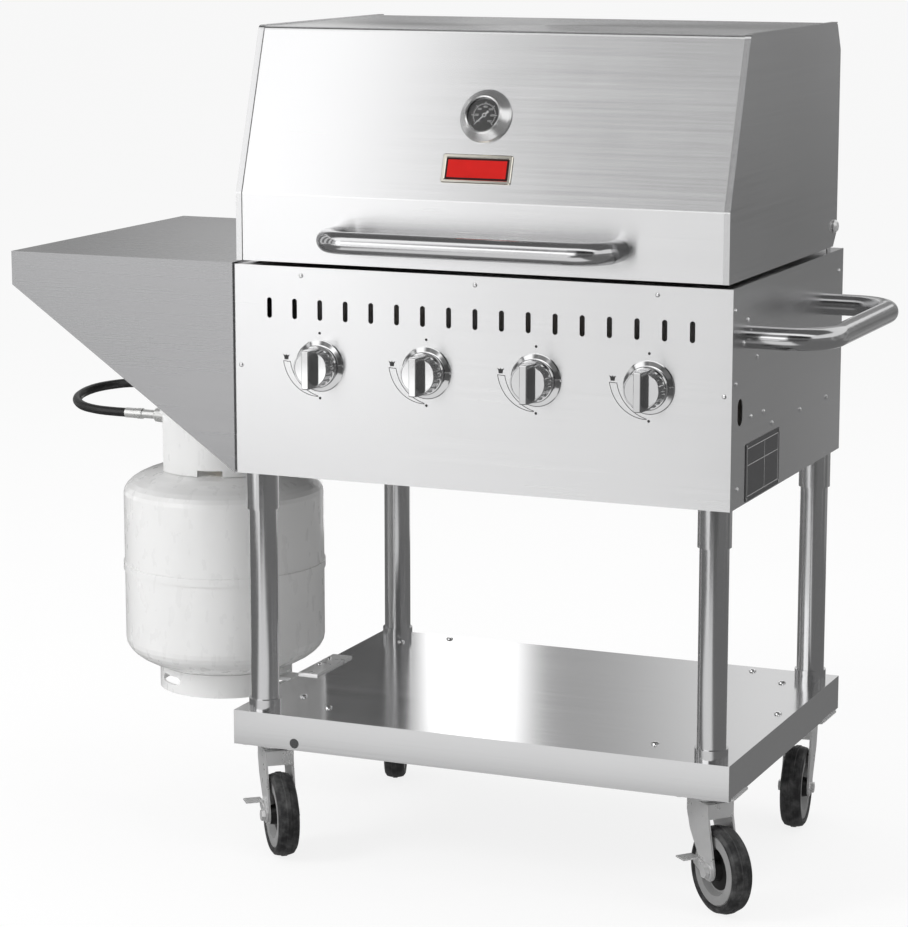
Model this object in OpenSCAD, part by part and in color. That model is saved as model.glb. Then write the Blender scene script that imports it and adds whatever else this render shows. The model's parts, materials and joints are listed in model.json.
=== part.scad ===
// Gas grill on a caster cart, with a hinged lid, a left side shelf and a gas cylinder.
// X runs to the right, Y to the back, Z up. The floor is at Z = 0.

/* [Fire box] */
// Width of the fire box
box_w = 762; // [740:2:800]
// Depth of the fire box
box_d = 540; // [530:2:570]
// Height of the fire box
box_h = 309; // [300:1:330]
// Thickness of the stainless sheet
sheet = 1.5; // [1:0.1:2]
// Width of the folded panel edges
fold_w = 20; // [14:1:24]
// Width of the floor folds that carry the legs
foot_fold_w = 62; // [58:1:70]
// Depth of the control space behind the front panel
control_d = 88; // [84:1:100]

/* [Front panel] */
// Number of vent slots
slot_count = 17; // [9:2:17]
// Distance between vent slots
slot_pitch = 40.4; // [36:0.2:41]
// Width of a vent slot
slot_w = 7.7; // [5:0.1:10]
// Height of a vent slot
slot_h = 30; // [20:1:36]
// Height of the vent slots above the fire box floor
slot_z = 247.6; // [240:0.2:255]

/* [Knobs and gas] */
// Distance between knobs
knob_pitch = 168; // [150:1:172]
// Sideways shift of the row of knobs
knob_shift = 9; // [0:1:12]
// Height of the knobs above the fire box floor
knob_z = 167; // [160:1:180]
// Diameter of a knob
knob_d = 62; // [50:1:70]
// Length of a knob's skirt
knob_skirt_l = 13; // [8:1:16]
// Length of a knob's grip bar
knob_grip_l = 21; // [14:1:26]
// Thickness of a knob's grip bar
knob_grip_t = 20; // [14:1:26]
// How far a knob is pushed in
knob_push = 4; // [2:0.5:5]
// Diameter of a valve stem
stem_d = 8; // [6:0.5:10]
// Diameter of a knob bezel
bezel_d = 70; // [66:1:80]
// Thickness of a knob bezel
bezel_t = 3; // [2:0.5:4]
// Diameter of a gas valve
valve_d = 28; // [25:1:34]
// Diameter of the gas manifold
manifold_d = 26; // [20:1:28]
// Drop of the manifold below the knobs
manifold_drop = 32; // [30:1:40]
// Diameter of a burner tube
burner_d = 34; // [28:1:40]
// Width of a heat tent
tent_w = 100; // [80:1:120]
// Height of a heat tent
tent_h = 26; // [18:1:32]

/* [Cooking grates] */
// Drop of the grate ledge below the rim of the fire box
grate_drop = 36; // [32:1:44]
// Diameter of a grate rod
rod_d = 7; // [5:0.5:8]
// Distance between grate rods
rod_pitch = 19; // [15:1:24]

/* [Drip tray] */
// Width of the drip tray
tray_w = 560; // [480:2:600]
// Length of the drip tray
tray_l = 420; // [380:2:430]
// Height of the drip tray
tray_h = 30; // [24:1:34]
// How far the tray's pull stands out at the back
tray_pull = 12; // [8:1:16]

/* [Lid] */
// How far each side of the lid stands in from the side of the fire box
lid_in = 6; // [4:0.5:9]
// Gap between the fire box and the closed lid
lid_gap = 6; // [4:0.5:8]
// Height of the lid's upright front strip
lid_front_h = 98; // [90:1:110]
// Height of the lid
lid_h = 334; // [320:1:350]
// Depth that the slanted front leans back
lid_lean = 80.5; // [70:0.5:90]
// Set-back of the lid's top behind its back wall
lid_top_set = 20; // [14:1:26]
// Drop of the back bend below the top
lid_back_drop = 40; // [30:1:50]
// Gap from the back of the lid to the back of the fire box
lid_back_gap = 19; // [16:1:24]
// Height of the tapered strip at the bottom of the back wall
lid_tail_h = 21; // [15:1:25]
// Set-in of the tapered strip
lid_tail_in = 18; // [12:1:20]
// Width of the lip that folds over the front edge
lid_lip = 9; // [6:0.5:12]
// Bend radius of the lid sheet
lid_bend_r = 8; // [4:1:12]
// Height of the hinge axis above the lid's bottom
hinge_rise = 30; // [28:1:34]
// Distance from the hinge axis to the back of the lid
hinge_in = 14; // [13:0.5:16]
// Diameter of a hinge bolt
hinge_d = 10; // [8:0.5:12]

/* [Tube handles] */
// Diameter of the handle tube
tube_d = 32; // [25:1:36]
// Wall of the handle tube
tube_wall = 1.6; // [1:0.1:2.5]
// Distance between the ends of the lid handle
lid_handle_w = 428; // [380:2:460]
// Reach of the lid handle
lid_handle_reach = 67; // [60:1:80]
// Bend radius of the lid handle
lid_handle_bend = 44; // [36:1:50]
// Height of the lid handle above the lid's bottom
lid_handle_z = 40; // [30:1:60]
// Distance between the ends of the side handle
side_handle_w = 374; // [340:2:400]
// Reach of the side handle
side_handle_reach = 109; // [90:1:120]
// Bend radius of the side handle
side_handle_bend = 62; // [50:1:70]
// Height of the side handle above the fire box floor
side_handle_z = 234; // [220:1:245]

/* [Gauge] */
// Diameter of the gauge bezel
gauge_d = 78; // [70:1:90]
// Diameter of the gauge dial
dial_d = 48; // [40:1:56]
// Height of the gauge case
gauge_h = 15; // [12:0.5:18]
// Distance of the gauge up the slanted front
gauge_up = 124; // [110:1:140]
// Length of the gauge probe inside the lid
probe_l = 60; // [40:1:90]

/* [Side shelf] */
// Length of the side shelf
side_shelf_l = 371.5; // [340:0.5:400]
// How far the side shelf reaches past the fire box at the front and back
side_shelf_over = 4; // [1:0.5:8]
// Rise of the side shelf above the rim of the fire box
side_shelf_rise = 2; // [0:0.5:6]
// Height of the side shelf's end fold
side_shelf_fold = 50.5; // [40:0.5:60]

/* [Cart] */
// How far the lower shelf reaches past the fire box at each side
shelf_over_x = 7; // [4:0.5:10]
// How far the lower shelf reaches past the fire box at the front and back
shelf_over_y = 5; // [4:0.5:10]
// Height of the lower shelf's sides
shelf_h = 52; // [44:1:60]
// Width of the lower shelf's bottom lips
shelf_lip = 18; // [12:1:24]
// Size of the caster pads in the shelf's corners
pad_w = 104; // [98:1:120]
// Diameter of the hole in the shelf's front side
shelf_hole_d = 15; // [10:1:20]
// Length of a leg between the shelf and the fire box
leg_l = 361; // [340:1:380]
// Diameter of a leg tube
leg_d = 42; // [38:1:45]
// Wall of a leg tube
leg_wall = 1.6; // [1:0.1:2.5]
// Distance of a leg from the side of the fire box
leg_in_x = 30; // [28:1:34]
// Distance of a leg from the front or back of the fire box
leg_in_y = 27; // [26:1:34]
// Length of a leg's upper socket
socket_l = 56; // [40:1:70]
// Length of a leg's lower collar
collar_l = 16; // [10:1:24]
// Wall of the sockets and collars
socket_wall = 3; // [2:0.5:4]

/* [Casters] */
// Diameter of a wheel
wheel_d = 127; // [115:1:130]
// Width of a tyre
tyre_w = 32; // [26:1:34]
// Diameter of a hub
hub_d = 102; // [92:1:106]
// Height of a caster from the floor to the shelf
caster_h = 172; // [168:1:180]
// Distance from the swivel axis to the axle
trail = 34; // [28:1:38]
// Diameter of an axle
axle_d = 9.5; // [8:0.5:12]
// Thickness of the fork's sheet
fork_t = 3; // [2.5:0.5:4]
// Length of the top plate, from side to side
plate_l = 92; // [84:1:94]
// Depth of the top plate
plate_d = 66; // [60:1:76]
// Thickness of the top plate
plate_t = 3; // [2.5:0.5:4]
// Diameter of the swivel race
race_d = 50; // [44:1:54]
// Diameter of the kingpin
kingpin_d = 12; // [10:0.5:14]

/* [Gas cylinder] */
// Diameter of the cylinder
tank_d = 316; // [300:1:320]
// Length of the straight part of the cylinder
tank_l = 232; // [200:1:250]
// Height of the top dome
dome_top_h = 50; // [44:1:60]
// Height of the bottom dome
dome_bottom_h = 58; // [50:1:60]
// Wall of the cylinder
tank_wall = 3; // [2:0.5:4]
// Distance from the fire box's side to the cylinder's axis
tank_out = 166; // [164:1:180]
// Distance from the front panel to the cylinder's axis
tank_y = 280; // [270:1:290]
// Height of the foot ring's edge above the floor
tank_foot_z = 182; // [180:1:200]
// Diameter of the foot ring
foot_ring_d = 210; // [196:1:220]
// Diameter of the collar
guard_d = 204; // [190:1:220]
// Height of the collar's top above the foot ring's edge
guard_top = 450; // [440:1:460]
// Opening angle of the collar
guard_gap = 100; // [80:1:120]
// Height of the valve outlet above the foot ring's edge
outlet_z = 426; // [420:1:430]

/* [Hidden] */
$fn = 64;

// Clearances
run_gap = 0.05;
seat_gap = 0.3;
edge_gap = 0.5;
cut = 1;

// Heights
shelf_bottom = caster_h;
shelf_top = shelf_bottom + shelf_h;
box_bottom = shelf_top + leg_l;
box_top = box_bottom + box_h;
lid_bottom = box_top + lid_gap;
lid_top = lid_bottom + lid_h;
knob_height = box_bottom + knob_z;

// Lower shelf
shelf_w = box_w + 2 * shelf_over_x;
shelf_d = box_d + 2 * shelf_over_y;
shelf_front = -shelf_over_y;
shelf_back = box_d + shelf_over_y;
shelf_hole_x = -288;
shelf_hole_rise = 10.5;

// Legs
leg_x = box_w / 2 - leg_in_x;
leg_spots = [for (x = [-leg_x, leg_x], y = [leg_in_y, box_d - leg_in_y]) [x, y]];
socket_d = leg_d + 2 * (run_gap + socket_wall);

// Casters: left or right, front or back, and the angle that the wheel trails at
caster_x = shelf_w / 2 - 44;
caster_in_y = 50;
casters = [
    [-caster_x, shelf_front + caster_in_y, -51],
    [caster_x, shelf_front + caster_in_y, -40],
    [-caster_x, shelf_back - caster_in_y, -70],
    [caster_x, shelf_back - caster_in_y, -83]
];
race_h = 9;
crown_t = 4;
crown_top = caster_h - plate_t - race_h - seat_gap;
crown_bottom = crown_top - crown_t;
kingpin_nut_h = 7;
hub_l = 36;
hub_play = 0.5;
fork_gap = hub_l + 2 * hub_play;
fork_out = fork_gap / 2 + fork_t;
fork_half = 27;
fork_skirt_h = 22;
axle_boss_r = 14;
axle_head_h = 6;
axle_head_d = 17;
lever_t = 2.5;
plate_bolt_x = plate_l / 2 - 9;
plate_bolt_y = plate_d / 2 - 8;
plate_bolt_d = 10;

// Gas train
knob_x = [for (i = [-1.5:1:1.5]) knob_shift + i * knob_pitch];
manifold_y = 40;
manifold_z = knob_height - manifold_drop;
manifold_left = -box_w / 2 - 9;
port_d = 16;
port_l = 12;
valve_front = 12;
valve_back = 62;
valve_foot_d = valve_d - 8;
cup_l = 6;
cup_d = 16;
cup_y = 18;
bore_back = cup_y + cup_l + knob_push + 4;
nozzle_d = 11;
nozzle_back = control_d - 4;
burner_front = valve_back + 8;
burner_wall = 1.4;
knob_back = -(bezel_t + knob_push + 1);
regulator_x = -box_w / 2 - 44;
stem_hole_d = stem_d + 6;

// Liner
liner_half = box_w / 2 - sheet - seat_gap;
liner_back = box_d - lid_back_gap - lid_tail_in - 5;
liner_low = box_bottom + 62;
liner_high = box_bottom + 105;
drain_front = 250;
drain_back = 340;
liner_top = box_top - sheet;
liner_profile = [
    [sheet + 2, liner_top], [control_d + sheet, liner_top], [control_d + sheet, liner_high],
    [drain_front, liner_low], [drain_back, liner_low], [liner_back, liner_high],
    [liner_back, liner_top], [box_d - sheet - seat_gap, liner_top]
];
ledge_w = 12;
grate_z = box_top - grate_drop;
tent_z = knob_height + burner_d / 2 + 14;
rail_out = tray_w / 2 + edge_gap;
rail_lip = 10;
rail_in = 20;
rail_z = box_bottom + 5;
tray_z = rail_z + sheet + seat_gap;
tray_front = box_d - tray_l;
tray_slot_h = tray_h + 2;

// Lid outline, front bottom to back bottom, seen from the right
lid_back = box_d - lid_back_gap;
lid_outline = [
    [0, lid_bottom], [0, lid_bottom + lid_front_h], [lid_lean, lid_top],
    [lid_back - lid_top_set, lid_top], [lid_back, lid_top - lid_back_drop],
    [lid_back, lid_bottom + lid_tail_h], [lid_back - lid_tail_in, lid_bottom]
];
slant_tilt = atan(lid_lean / (lid_h - lid_front_h));
lid_w = box_w - 2 * lid_in;
lid_end = lid_w / 2 - sheet;
hinge_y = lid_back - hinge_in;
hinge_z = lid_bottom + hinge_rise;
ear_r = 9;
ear_x = lid_end - 6;
notch_x = ear_x - sheet - 3;
bolt_head_h = 6;
bolt_head_d = 20;
lid_hem = 8;

// Gauge, measured out from the lid's slanted face
dial_z = 6;
dial_t = 1;
needle_t = 0.8;
needle_z = dial_z + dial_t + 0.4;
glass_z = needle_z + needle_t + 1.6;
glass_t = 1.5;
dial_pin_d = 3;
needle_rest = 135;
probe_d = 8;

// Side shelf
side_shelf_top = box_top + side_shelf_rise;
side_shelf_end = -box_w / 2 - side_shelf_l;
side_shelf_d = box_d + 2 * side_shelf_over;
side_shelf_front = -side_shelf_over;

// Gas cylinder
tank_x = -box_w / 2 - tank_out;
tank_low = tank_foot_z + 81;
tank_high = tank_low + tank_l;
dome_top = tank_high + dome_top_h;
dome_bottom = tank_low - dome_bottom_h;
guard_z = tank_foot_z + guard_top;
ring_wall = 3;
outlet_height = tank_foot_z + outlet_z;
valve_neck_d = 30;
outlet_d = 26;
outlet_l = 48;
wheel_knob_z = outlet_height + 14;
spindle_d = 8;
bracket_t = 3;
arm_w = 34;
arm_t = 5;
arm_top = dome_bottom - seat_gap;
arm_slot_h = arm_t + 8;

// Hose route, from the cylinder's coupling to the regulator: round points chosen by hand
hose_d = 14.6;
hose_sides = 10;
hose_steps = 2;
hose_route = [
    [-720, 280, 608], [-745, 280, 608], [-775, 281, 609], [-805, 289, 612], [-828, 311, 617],
    [-836, 342, 622], [-828, 373, 627], [-805, 395, 631], [-775, 404, 634], [-730, 406, 634],
    [-680, 406, 633], [-630, 406, 632], [-580, 405, 632], [-535, 398, 634], [-495, 378, 638],
    [-464, 348, 645], [-443, 308, 655], [-432, 266, 668], [-427, 225, 684], [-425, 185, 701],
    [-425, 155, 714], [-425, 127, 720]
];

// Extents, used to set the origin under the middle of the grill
reach_left = side_shelf_end;
reach_right = box_w / 2 + side_handle_reach + tube_d / 2;
reach_front = -lid_handle_reach - tube_d / 2;
reach_back = max(box_d + tray_pull, shelf_back, side_shelf_front + side_shelf_d);

module place() {
    translate([-(reach_left + reach_right) / 2, -(reach_front + reach_back) / 2, 0]) children();
}

// Geometry helpers
function unit(v) = v / norm(v);
function left_of(a, b) = let (u = unit(b - a)) [-u[1], u[0]];
function shifted(p, i, t) =
    i == 0 ? p[0] + t * left_of(p[0], p[1]) :
    i == len(p) - 1 ? p[i] + t * left_of(p[i - 1], p[i]) :
    let (a = left_of(p[i - 1], p[i]), b = left_of(p[i], p[i + 1])) p[i] + t * (a + b) / (1 + a * b);
// A bent sheet of thickness t that lies to the left of the path p
function sheet_outline(p, t) = concat(p, [for (i = [len(p) - 1:-1:0]) shifted(p, i, t)]);
// One corner of a path, rounded to radius r
function corner(a, b, c, r) =
    let (u = unit(a - b), v = unit(c - b), half = acos(u * v) / 2, turn = 180 - 2 * half,
         mid = b + unit(u + v) * r / sin(half), s = unit(b + u * r / tan(half) - mid),
         e = unit(b + v * r / tan(half) - mid))
    [for (i = [0:4]) mid + r * (sin((1 - i / 4) * turn) * s + sin(i / 4 * turn) * e) / sin(turn)];
function rounded(p, r) = concat(
    [p[0]], [for (i = [1:len(p) - 2]) each corner(p[i - 1], p[i], p[i + 1], r)], [p[len(p) - 1]]);

// Shapes drawn in the plane of Y and Z, and pushed along X from x0 to x1
module along_x(x0, x1) {
    translate([x0, 0, 0]) rotate([90, 0, 90]) linear_extrude(x1 - x0) children();
}

// Shapes drawn in the plane of X and Z, and pushed along Y from y0 to y1
module along_y(y0, y1) {
    translate([0, y1, 0]) rotate([90, 0, 0]) linear_extrude(y1 - y0) children();
}

module rod_x(x0, x1, d) {
    translate([x0, 0, 0]) rotate([0, 90, 0]) cylinder(d = d, h = x1 - x0);
}

module rod_y(y0, y1, d) {
    translate([0, y0, 0]) rotate([-90, 0, 0]) cylinder(d = d, h = y1 - y0);
}

module ring(outer, inner, h) {
    difference() {
        cylinder(d = outer, h = h);
        translate([0, 0, -cut]) cylinder(d = inner, h = h + 2 * cut);
    }
}

// A U of round bar in the plane of X and Y: its feet stand at x = -w/2 and w/2 on y = 0
module round_u(w, reach, bend, d) {
    straight = w - 2 * bend;
    for (s = [-1, 1]) {
        translate([s * w / 2, 0, 0]) rotate([90, 0, 0]) cylinder(d = d, h = reach - bend);
        translate([s * (w / 2 - bend), -(reach - bend), 0])
            rotate([0, 0, s > 0 ? -90 : 180])
                rotate_extrude(angle = 90) translate([bend, 0]) circle(d = d);
    }
    translate([-straight / 2, -reach, 0]) rotate([0, 90, 0]) cylinder(d = d, h = straight);
}

module tube_u(w, reach, bend) {
    difference() {
        round_u(w, reach, bend, tube_d);
        round_u(w, reach, bend, tube_d - 2 * tube_wall);
    }
}

// Cart

module lower_shelf() {
    color("gainsboro") difference() {
        translate([-shelf_w / 2, shelf_front, shelf_bottom]) cube([shelf_w, shelf_d, shelf_h]);
        translate([-shelf_w / 2 + sheet, shelf_front + sheet, shelf_bottom + sheet])
            cube([shelf_w - 2 * sheet, shelf_d - 2 * sheet, shelf_h - 2 * sheet]);
        for (in = [[shelf_lip, pad_w], [pad_w, shelf_lip]])
            translate([-shelf_w / 2 + in[0], shelf_front + in[1], shelf_bottom - cut])
                cube([shelf_w - 2 * in[0], shelf_d - 2 * in[1], sheet + 2 * cut]);
        translate([shelf_hole_x, shelf_front - cut, shelf_bottom + shelf_hole_rise])
            rotate([-90, 0, 0]) cylinder(d = shelf_hole_d, h = sheet + 2 * cut);
    }
}

module leg_tubes() {
    color("silver") for (p = leg_spots)
        translate([p[0], p[1], shelf_top]) ring(leg_d, leg_d - 2 * leg_wall, leg_l);
}

module leg_sockets() {
    color("lightgray") for (p = leg_spots) {
        translate([p[0], p[1], box_bottom - socket_l]) ring(socket_d, leg_d + 2 * run_gap, socket_l);
        translate([p[0], p[1], shelf_top]) ring(socket_d, leg_d + 2 * run_gap, collar_l);
    }
}

// Casters. Inside at_caster, X is the direction of trail and Y is along the axle.

module at_caster(i) {
    translate([casters[i][0], casters[i][1], 0]) rotate([0, 0, casters[i][2]]) children();
}

module at_axle(i) {
    at_caster(i) translate([trail, 0, wheel_d / 2]) rotate([-90, 0, 0]) children();
}

module caster_plates() {
    color("lightgray") for (i = [0:3]) {
        translate([casters[i][0], casters[i][1], 0]) {
            translate([-plate_l / 2, -plate_d / 2, caster_h - plate_t]) cube([plate_l, plate_d, plate_t]);
            for (x = [-plate_bolt_x, plate_bolt_x], y = [-plate_bolt_y, plate_bolt_y])
                translate([x, y, caster_h - plate_t - 4]) cylinder(d = plate_bolt_d, h = 4 + plate_t / 2);
            translate([0, 0, caster_h - plate_t - race_h]) rotate_extrude()
                polygon([[0, 0], [race_d / 2 - 3, 0], [race_d / 2, 3], [race_d / 2, race_h - 2],
                    [race_d / 2 - 4, race_h + plate_t / 2], [0, race_h + plate_t / 2]]);
            translate([0, 0, crown_bottom - seat_gap - kingpin_nut_h])
                cylinder(d = kingpin_d, h = kingpin_nut_h + crown_t + 2 * seat_gap + cut);
            translate([0, 0, crown_bottom - seat_gap - kingpin_nut_h])
                cylinder(d = kingpin_d + 9, h = kingpin_nut_h);
        }
    }
}

// One leg of the fork, in the plane of X and Z
module fork_leg_outline() {
    axle_z = wheel_d / 2;
    difference() {
        union() {
            translate([trail, axle_z]) circle(r = axle_boss_r);
            polygon([
                [-fork_half, crown_top], [fork_half, crown_top], [fork_half + 4, crown_top - fork_skirt_h],
                [trail + axle_boss_r, axle_z + 6], [trail + axle_boss_r * 0.94, axle_z - 4],
                [trail - axle_boss_r * 0.8, axle_z - 8], [-fork_half + 9, crown_top - 46],
                [-fork_half, crown_top - 20]]);
        }
        translate([trail, axle_z]) circle(d = axle_d);
    }
}

module fork(i) {
    has_lever = i < 2;
    lever_room = has_lever ? lever_t + 2 * hub_play : 0;
    color("silver") {
        at_caster(i) {
            for (s = [-1, 1])
                along_y(s > 0 ? fork_gap / 2 : -fork_out, s > 0 ? fork_out : -fork_gap / 2)
                    fork_leg_outline();
            difference() {
                translate([-fork_half, -fork_out, crown_bottom]) cube([2 * fork_half, 2 * fork_out, crown_t]);
                translate([0, 0, crown_bottom - cut])
                    cylinder(d = kingpin_d + 2 * run_gap, h = crown_t + 2 * cut);
            }
            translate([fork_half, -fork_out, crown_top - fork_skirt_h])
                cube([fork_t, 2 * fork_out, fork_skirt_h]);
        }
        at_axle(i) {
            translate([0, 0, -fork_out - lever_room - axle_head_h])
                cylinder(d = axle_d, h = 2 * fork_out + lever_room + 2 * axle_head_h);
            translate([0, 0, -fork_out - lever_room - axle_head_h])
                cylinder(d = axle_head_d, h = axle_head_h, $fn = 6);
            translate([0, 0, fork_out]) cylinder(d = axle_head_d, h = axle_head_h, $fn = 6);
        }
    }
}

module tyre(i) {
    r = wheel_d / 2;
    w = tyre_w / 2;
    color("dimgray") at_axle(i) rotate_extrude() polygon([
        [hub_d / 2 + run_gap, -w + 3], [hub_d / 2 + 2, -w], [r - 7, -w], [r - 3, -w + 3], [r - 1.6, -w + 8],
        [r - 1.2, -4], [r, -3], [r, 3], [r - 1.2, 4], [r - 1.6, w - 8], [r - 3, w - 3], [r - 7, w],
        [hub_d / 2 + 2, w], [hub_d / 2 + run_gap, w - 3]]);
}

module hub(i) {
    r = hub_d / 2;
    w = tyre_w / 2;
    core_r = 16;
    web_r = 32;
    color("darkgray") at_axle(i) rotate_extrude() polygon([
        [axle_d / 2 + run_gap, -hub_l / 2], [core_r - 2, -hub_l / 2], [core_r, -8], [web_r, -5],
        [web_r + 4, -w + 2], [r - 2, -w + 2], [r, -w + 4], [r, w - 4], [r - 2, w - 2], [web_r + 4, w - 2],
        [web_r, 5], [core_r, 8], [core_r - 2, hub_l / 2], [axle_d / 2 + run_gap, hub_l / 2]]);
}

module brake_lever(i) {
    color("lightgray") at_caster(i) translate([trail, 0, wheel_d / 2]) {
        along_y(-fork_out - hub_play - lever_t, -fork_out - hub_play) difference() {
            union() {
                circle(r = 12);
                polygon([[-8, 9], [-34, 16], [-38, 12], [-36, 4], [-6, -9]]);
            }
            circle(d = axle_d + 2 * run_gap);
        }
        translate([-46, -fork_out - hub_play - 26, 12.5]) cube([22, 26, lever_t]);
    }
}

// Fire box

module front_panel() {
    inner_half = box_w / 2 - sheet - fold_w - edge_gap;
    color("gainsboro") difference() {
        union() {
            translate([-box_w / 2, 0, box_bottom]) cube([box_w, sheet, box_h]);
            translate([-inner_half, 0, box_top - sheet]) cube([2 * inner_half, fold_w, sheet]);
            translate([-inner_half + foot_fold_w, 0, box_bottom])
                cube([2 * (inner_half - foot_fold_w), fold_w, sheet]);
        }
        for (i = [-(slot_count - 1) / 2:(slot_count - 1) / 2])
            along_y_at(i * slot_pitch, box_bottom + slot_z) slot_outline();
        for (x = knob_x)
            translate([x, 0, knob_height]) rod_y(-cut, sheet + cut, stem_hole_d);
    }
}

module along_y_at(x, z) {
    translate([x, 0, z]) along_y(-cut, sheet + cut) children();
}

module slot_outline() {
    for (s = [-1, 1]) translate([0, s * (slot_h - slot_w) / 2]) circle(d = slot_w);
    square([slot_w, slot_h - slot_w], center = true);
}

// A side panel for the right-hand side. The left one is its mirror image.
module side_panel() {
    x0 = box_w / 2 - sheet;
    fold_x = x0 - fold_w;
    difference() {
        union() {
            translate([x0, sheet, box_bottom]) cube([sheet, box_d - sheet, box_h]);
            translate([fold_x, sheet, box_top - sheet]) cube([fold_w + cut, box_d - 2 * sheet, sheet]);
            translate([box_w / 2 - foot_fold_w, sheet, box_bottom])
                cube([foot_fold_w - cut / 2, box_d - 2 * sheet, sheet]);
            hinge_ear();
        }
        hinge_ear_bore();
    }
}

// The tab that carries the hinge bolt stands up from the panel's top fold.
module hinge_ear() {
    along_x(ear_x - sheet, ear_x) {
        translate([hinge_y, hinge_z]) circle(r = ear_r);
        translate([hinge_y - ear_r, box_top - sheet]) square([2 * ear_r, hinge_z - box_top + sheet]);
    }
}

module hinge_ear_bore() {
    translate([0, hinge_y, hinge_z]) rod_x(ear_x - sheet - cut, ear_x + cut, hinge_d + 2 * run_gap);
}

module left_side_panel() {
    color("darkgray") difference() {
        mirror([1, 0, 0]) side_panel();
        translate([0, manifold_y, manifold_z])
            rod_x(-box_w / 2 - cut, -box_w / 2 + sheet + cut, manifold_d + 2 * seat_gap);
    }
}

module right_side_panel() {
    hole_w = 22;
    hole_h = 38;
    color("darkgray") difference() {
        side_panel();
        along_x(box_w / 2 - sheet - cut, box_w / 2 + cut) translate([38, box_bottom + 134]) {
            for (s = [-1, 1]) translate([0, s * (hole_h - hole_w) / 2]) circle(d = hole_w);
            square([hole_w, hole_h - hole_w], center = true);
        }
    }
}

module rear_panel() {
    half = box_w / 2 - sheet - seat_gap;
    slot_half = tray_w / 2 + 3;
    color("darkgray") difference() {
        translate([-half, box_d - sheet, box_bottom + sheet]) cube([2 * half, sheet, box_h - 2 * sheet]);
        translate([-slot_half, box_d - sheet - cut, tray_z - seat_gap])
            cube([2 * slot_half, sheet + 2 * cut, tray_slot_h]);
    }
}

// The liner is one bent sheet: control wall, sloped floor with a drain, and back wall.
module box_liner() {
    color("dimgray") {
        difference() {
            along_x(-liner_half, liner_half) polygon(sheet_outline(liner_profile, -sheet));
            translate([-tray_w / 2 + 20, drain_front + 10, liner_low - 2 * sheet])
                cube([tray_w - 40, drain_back - drain_front - 20, 4 * sheet]);
            for (x = knob_x)
                translate([x, 0, knob_height]) rod_y(control_d - cut, box_d, burner_d + 2 * seat_gap);
        }
        for (z = [grate_z, tent_z], y = [control_d + sheet - cut, liner_back - ledge_w])
            translate([-liner_half, y, z - sheet]) cube([2 * liner_half, ledge_w + cut, sheet]);
    }
}

// Two rails hang from the liner's floor, and each carries one edge of the drip tray.
module tray_rails() {
    y0 = control_d + rail_in;
    y1 = box_d - sheet - seat_gap;
    under = [for (i = [2:5]) shifted(liner_profile, i, -sheet - seat_gap)];
    rise = (under[1][1] - under[0][1]) / (under[1][0] - under[0][0]);
    color("dimgray") for (s = [-1, 1]) {
        x0 = s > 0 ? rail_out : -rail_out - sheet;
        along_x(x0, x0 + sheet) polygon([
            [y0, rail_z], [y1, rail_z], [y1, under[3][1]], under[3], under[2], under[1],
            [y0, under[0][1] + rise * (y0 - under[0][0])]]);
        translate([s > 0 ? rail_out - rail_lip : -rail_out - cut / 2, y0, rail_z])
            cube([rail_lip + cut / 2, y1 - y0, sheet]);
    }
}

module drip_tray() {
    color("silver") difference() {
        union() {
            translate([-tray_w / 2, tray_front, tray_z]) cube([tray_w, tray_l, tray_h]);
            translate([-60, box_d - cut, tray_z + tray_h - sheet]) cube([120, tray_pull + cut, sheet]);
        }
        translate([-tray_w / 2 + sheet, tray_front + sheet, tray_z + sheet])
            cube([tray_w - 2 * sheet, tray_l - 2 * sheet, tray_h]);
    }
}

// Gas train

module gas_manifold() {
    stay_w = 24;
    stay_h = 10;
    color("darkgray") translate([0, manifold_y, manifold_z]) {
        difference() {
            rod_x(manifold_left, knob_x[3] + 40, manifold_d);
            rod_x(manifold_left - cut, manifold_left + port_l, port_d);
            for (x = knob_x) translate([x, 0, 0]) cylinder(d = valve_foot_d + 2 * run_gap, h = manifold_d);
        }
        for (i = [0, 2])
            translate([knob_x[i] + knob_pitch / 2 - stay_w / 2, 0, -stay_h / 2])
                cube([stay_w, control_d - manifold_y, stay_h]);
    }
}

module gas_valves() {
    color("goldenrod") for (x = knob_x) translate([x, 0, knob_height]) difference() {
        union() {
            rod_y(valve_front, valve_back, valve_d);
            rod_y(valve_back - cut, nozzle_back, nozzle_d);
            translate([0, manifold_y, -manifold_drop + 2]) cylinder(d = valve_foot_d, h = manifold_drop - 2);
        }
        rod_y(valve_front - cut, bore_back, cup_d + 4 * run_gap);
    }
}

module spring_cup(i) {
    color("gray") translate([knob_x[i], 0, knob_height]) difference() {
        rod_y(cup_y, cup_y + cup_l, cup_d);
        rod_y(cup_y - cut, cup_y + cup_l + cut, stem_d + 2 * run_gap);
    }
}

// A knob with its stem: a round skirt and a straight-sided grip bar across it.
module knob(i) {
    color("silver") translate([knob_x[i], 0, knob_height]) {
        rod_y(knob_back - knob_skirt_l / 2, cup_y + cup_l + 3, stem_d);
        translate([0, knob_back, 0]) {
            rotate([90, 0, 0]) rotate_extrude() polygon([
                [0, 0], [knob_d / 2, 0], [knob_d / 2, knob_skirt_l - 3], [knob_d / 2 - 1, knob_skirt_l - 1],
                [knob_d / 2 - 3, knob_skirt_l], [0, knob_skirt_l]]);
            rotate([90, 0, 0]) intersection() {
                rotate_extrude() polygon([
                    [0, 0], [knob_d / 2 - 3, 0], [knob_d / 2 - 4, knob_skirt_l + knob_grip_l - 2],
                    [knob_d / 2 - 6, knob_skirt_l + knob_grip_l], [0, knob_skirt_l + knob_grip_l]]);
                translate([-knob_grip_t / 2, -knob_d, cut]) cube([knob_grip_t, 2 * knob_d, 3 * knob_d]);
            }
        }
    }
}

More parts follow.
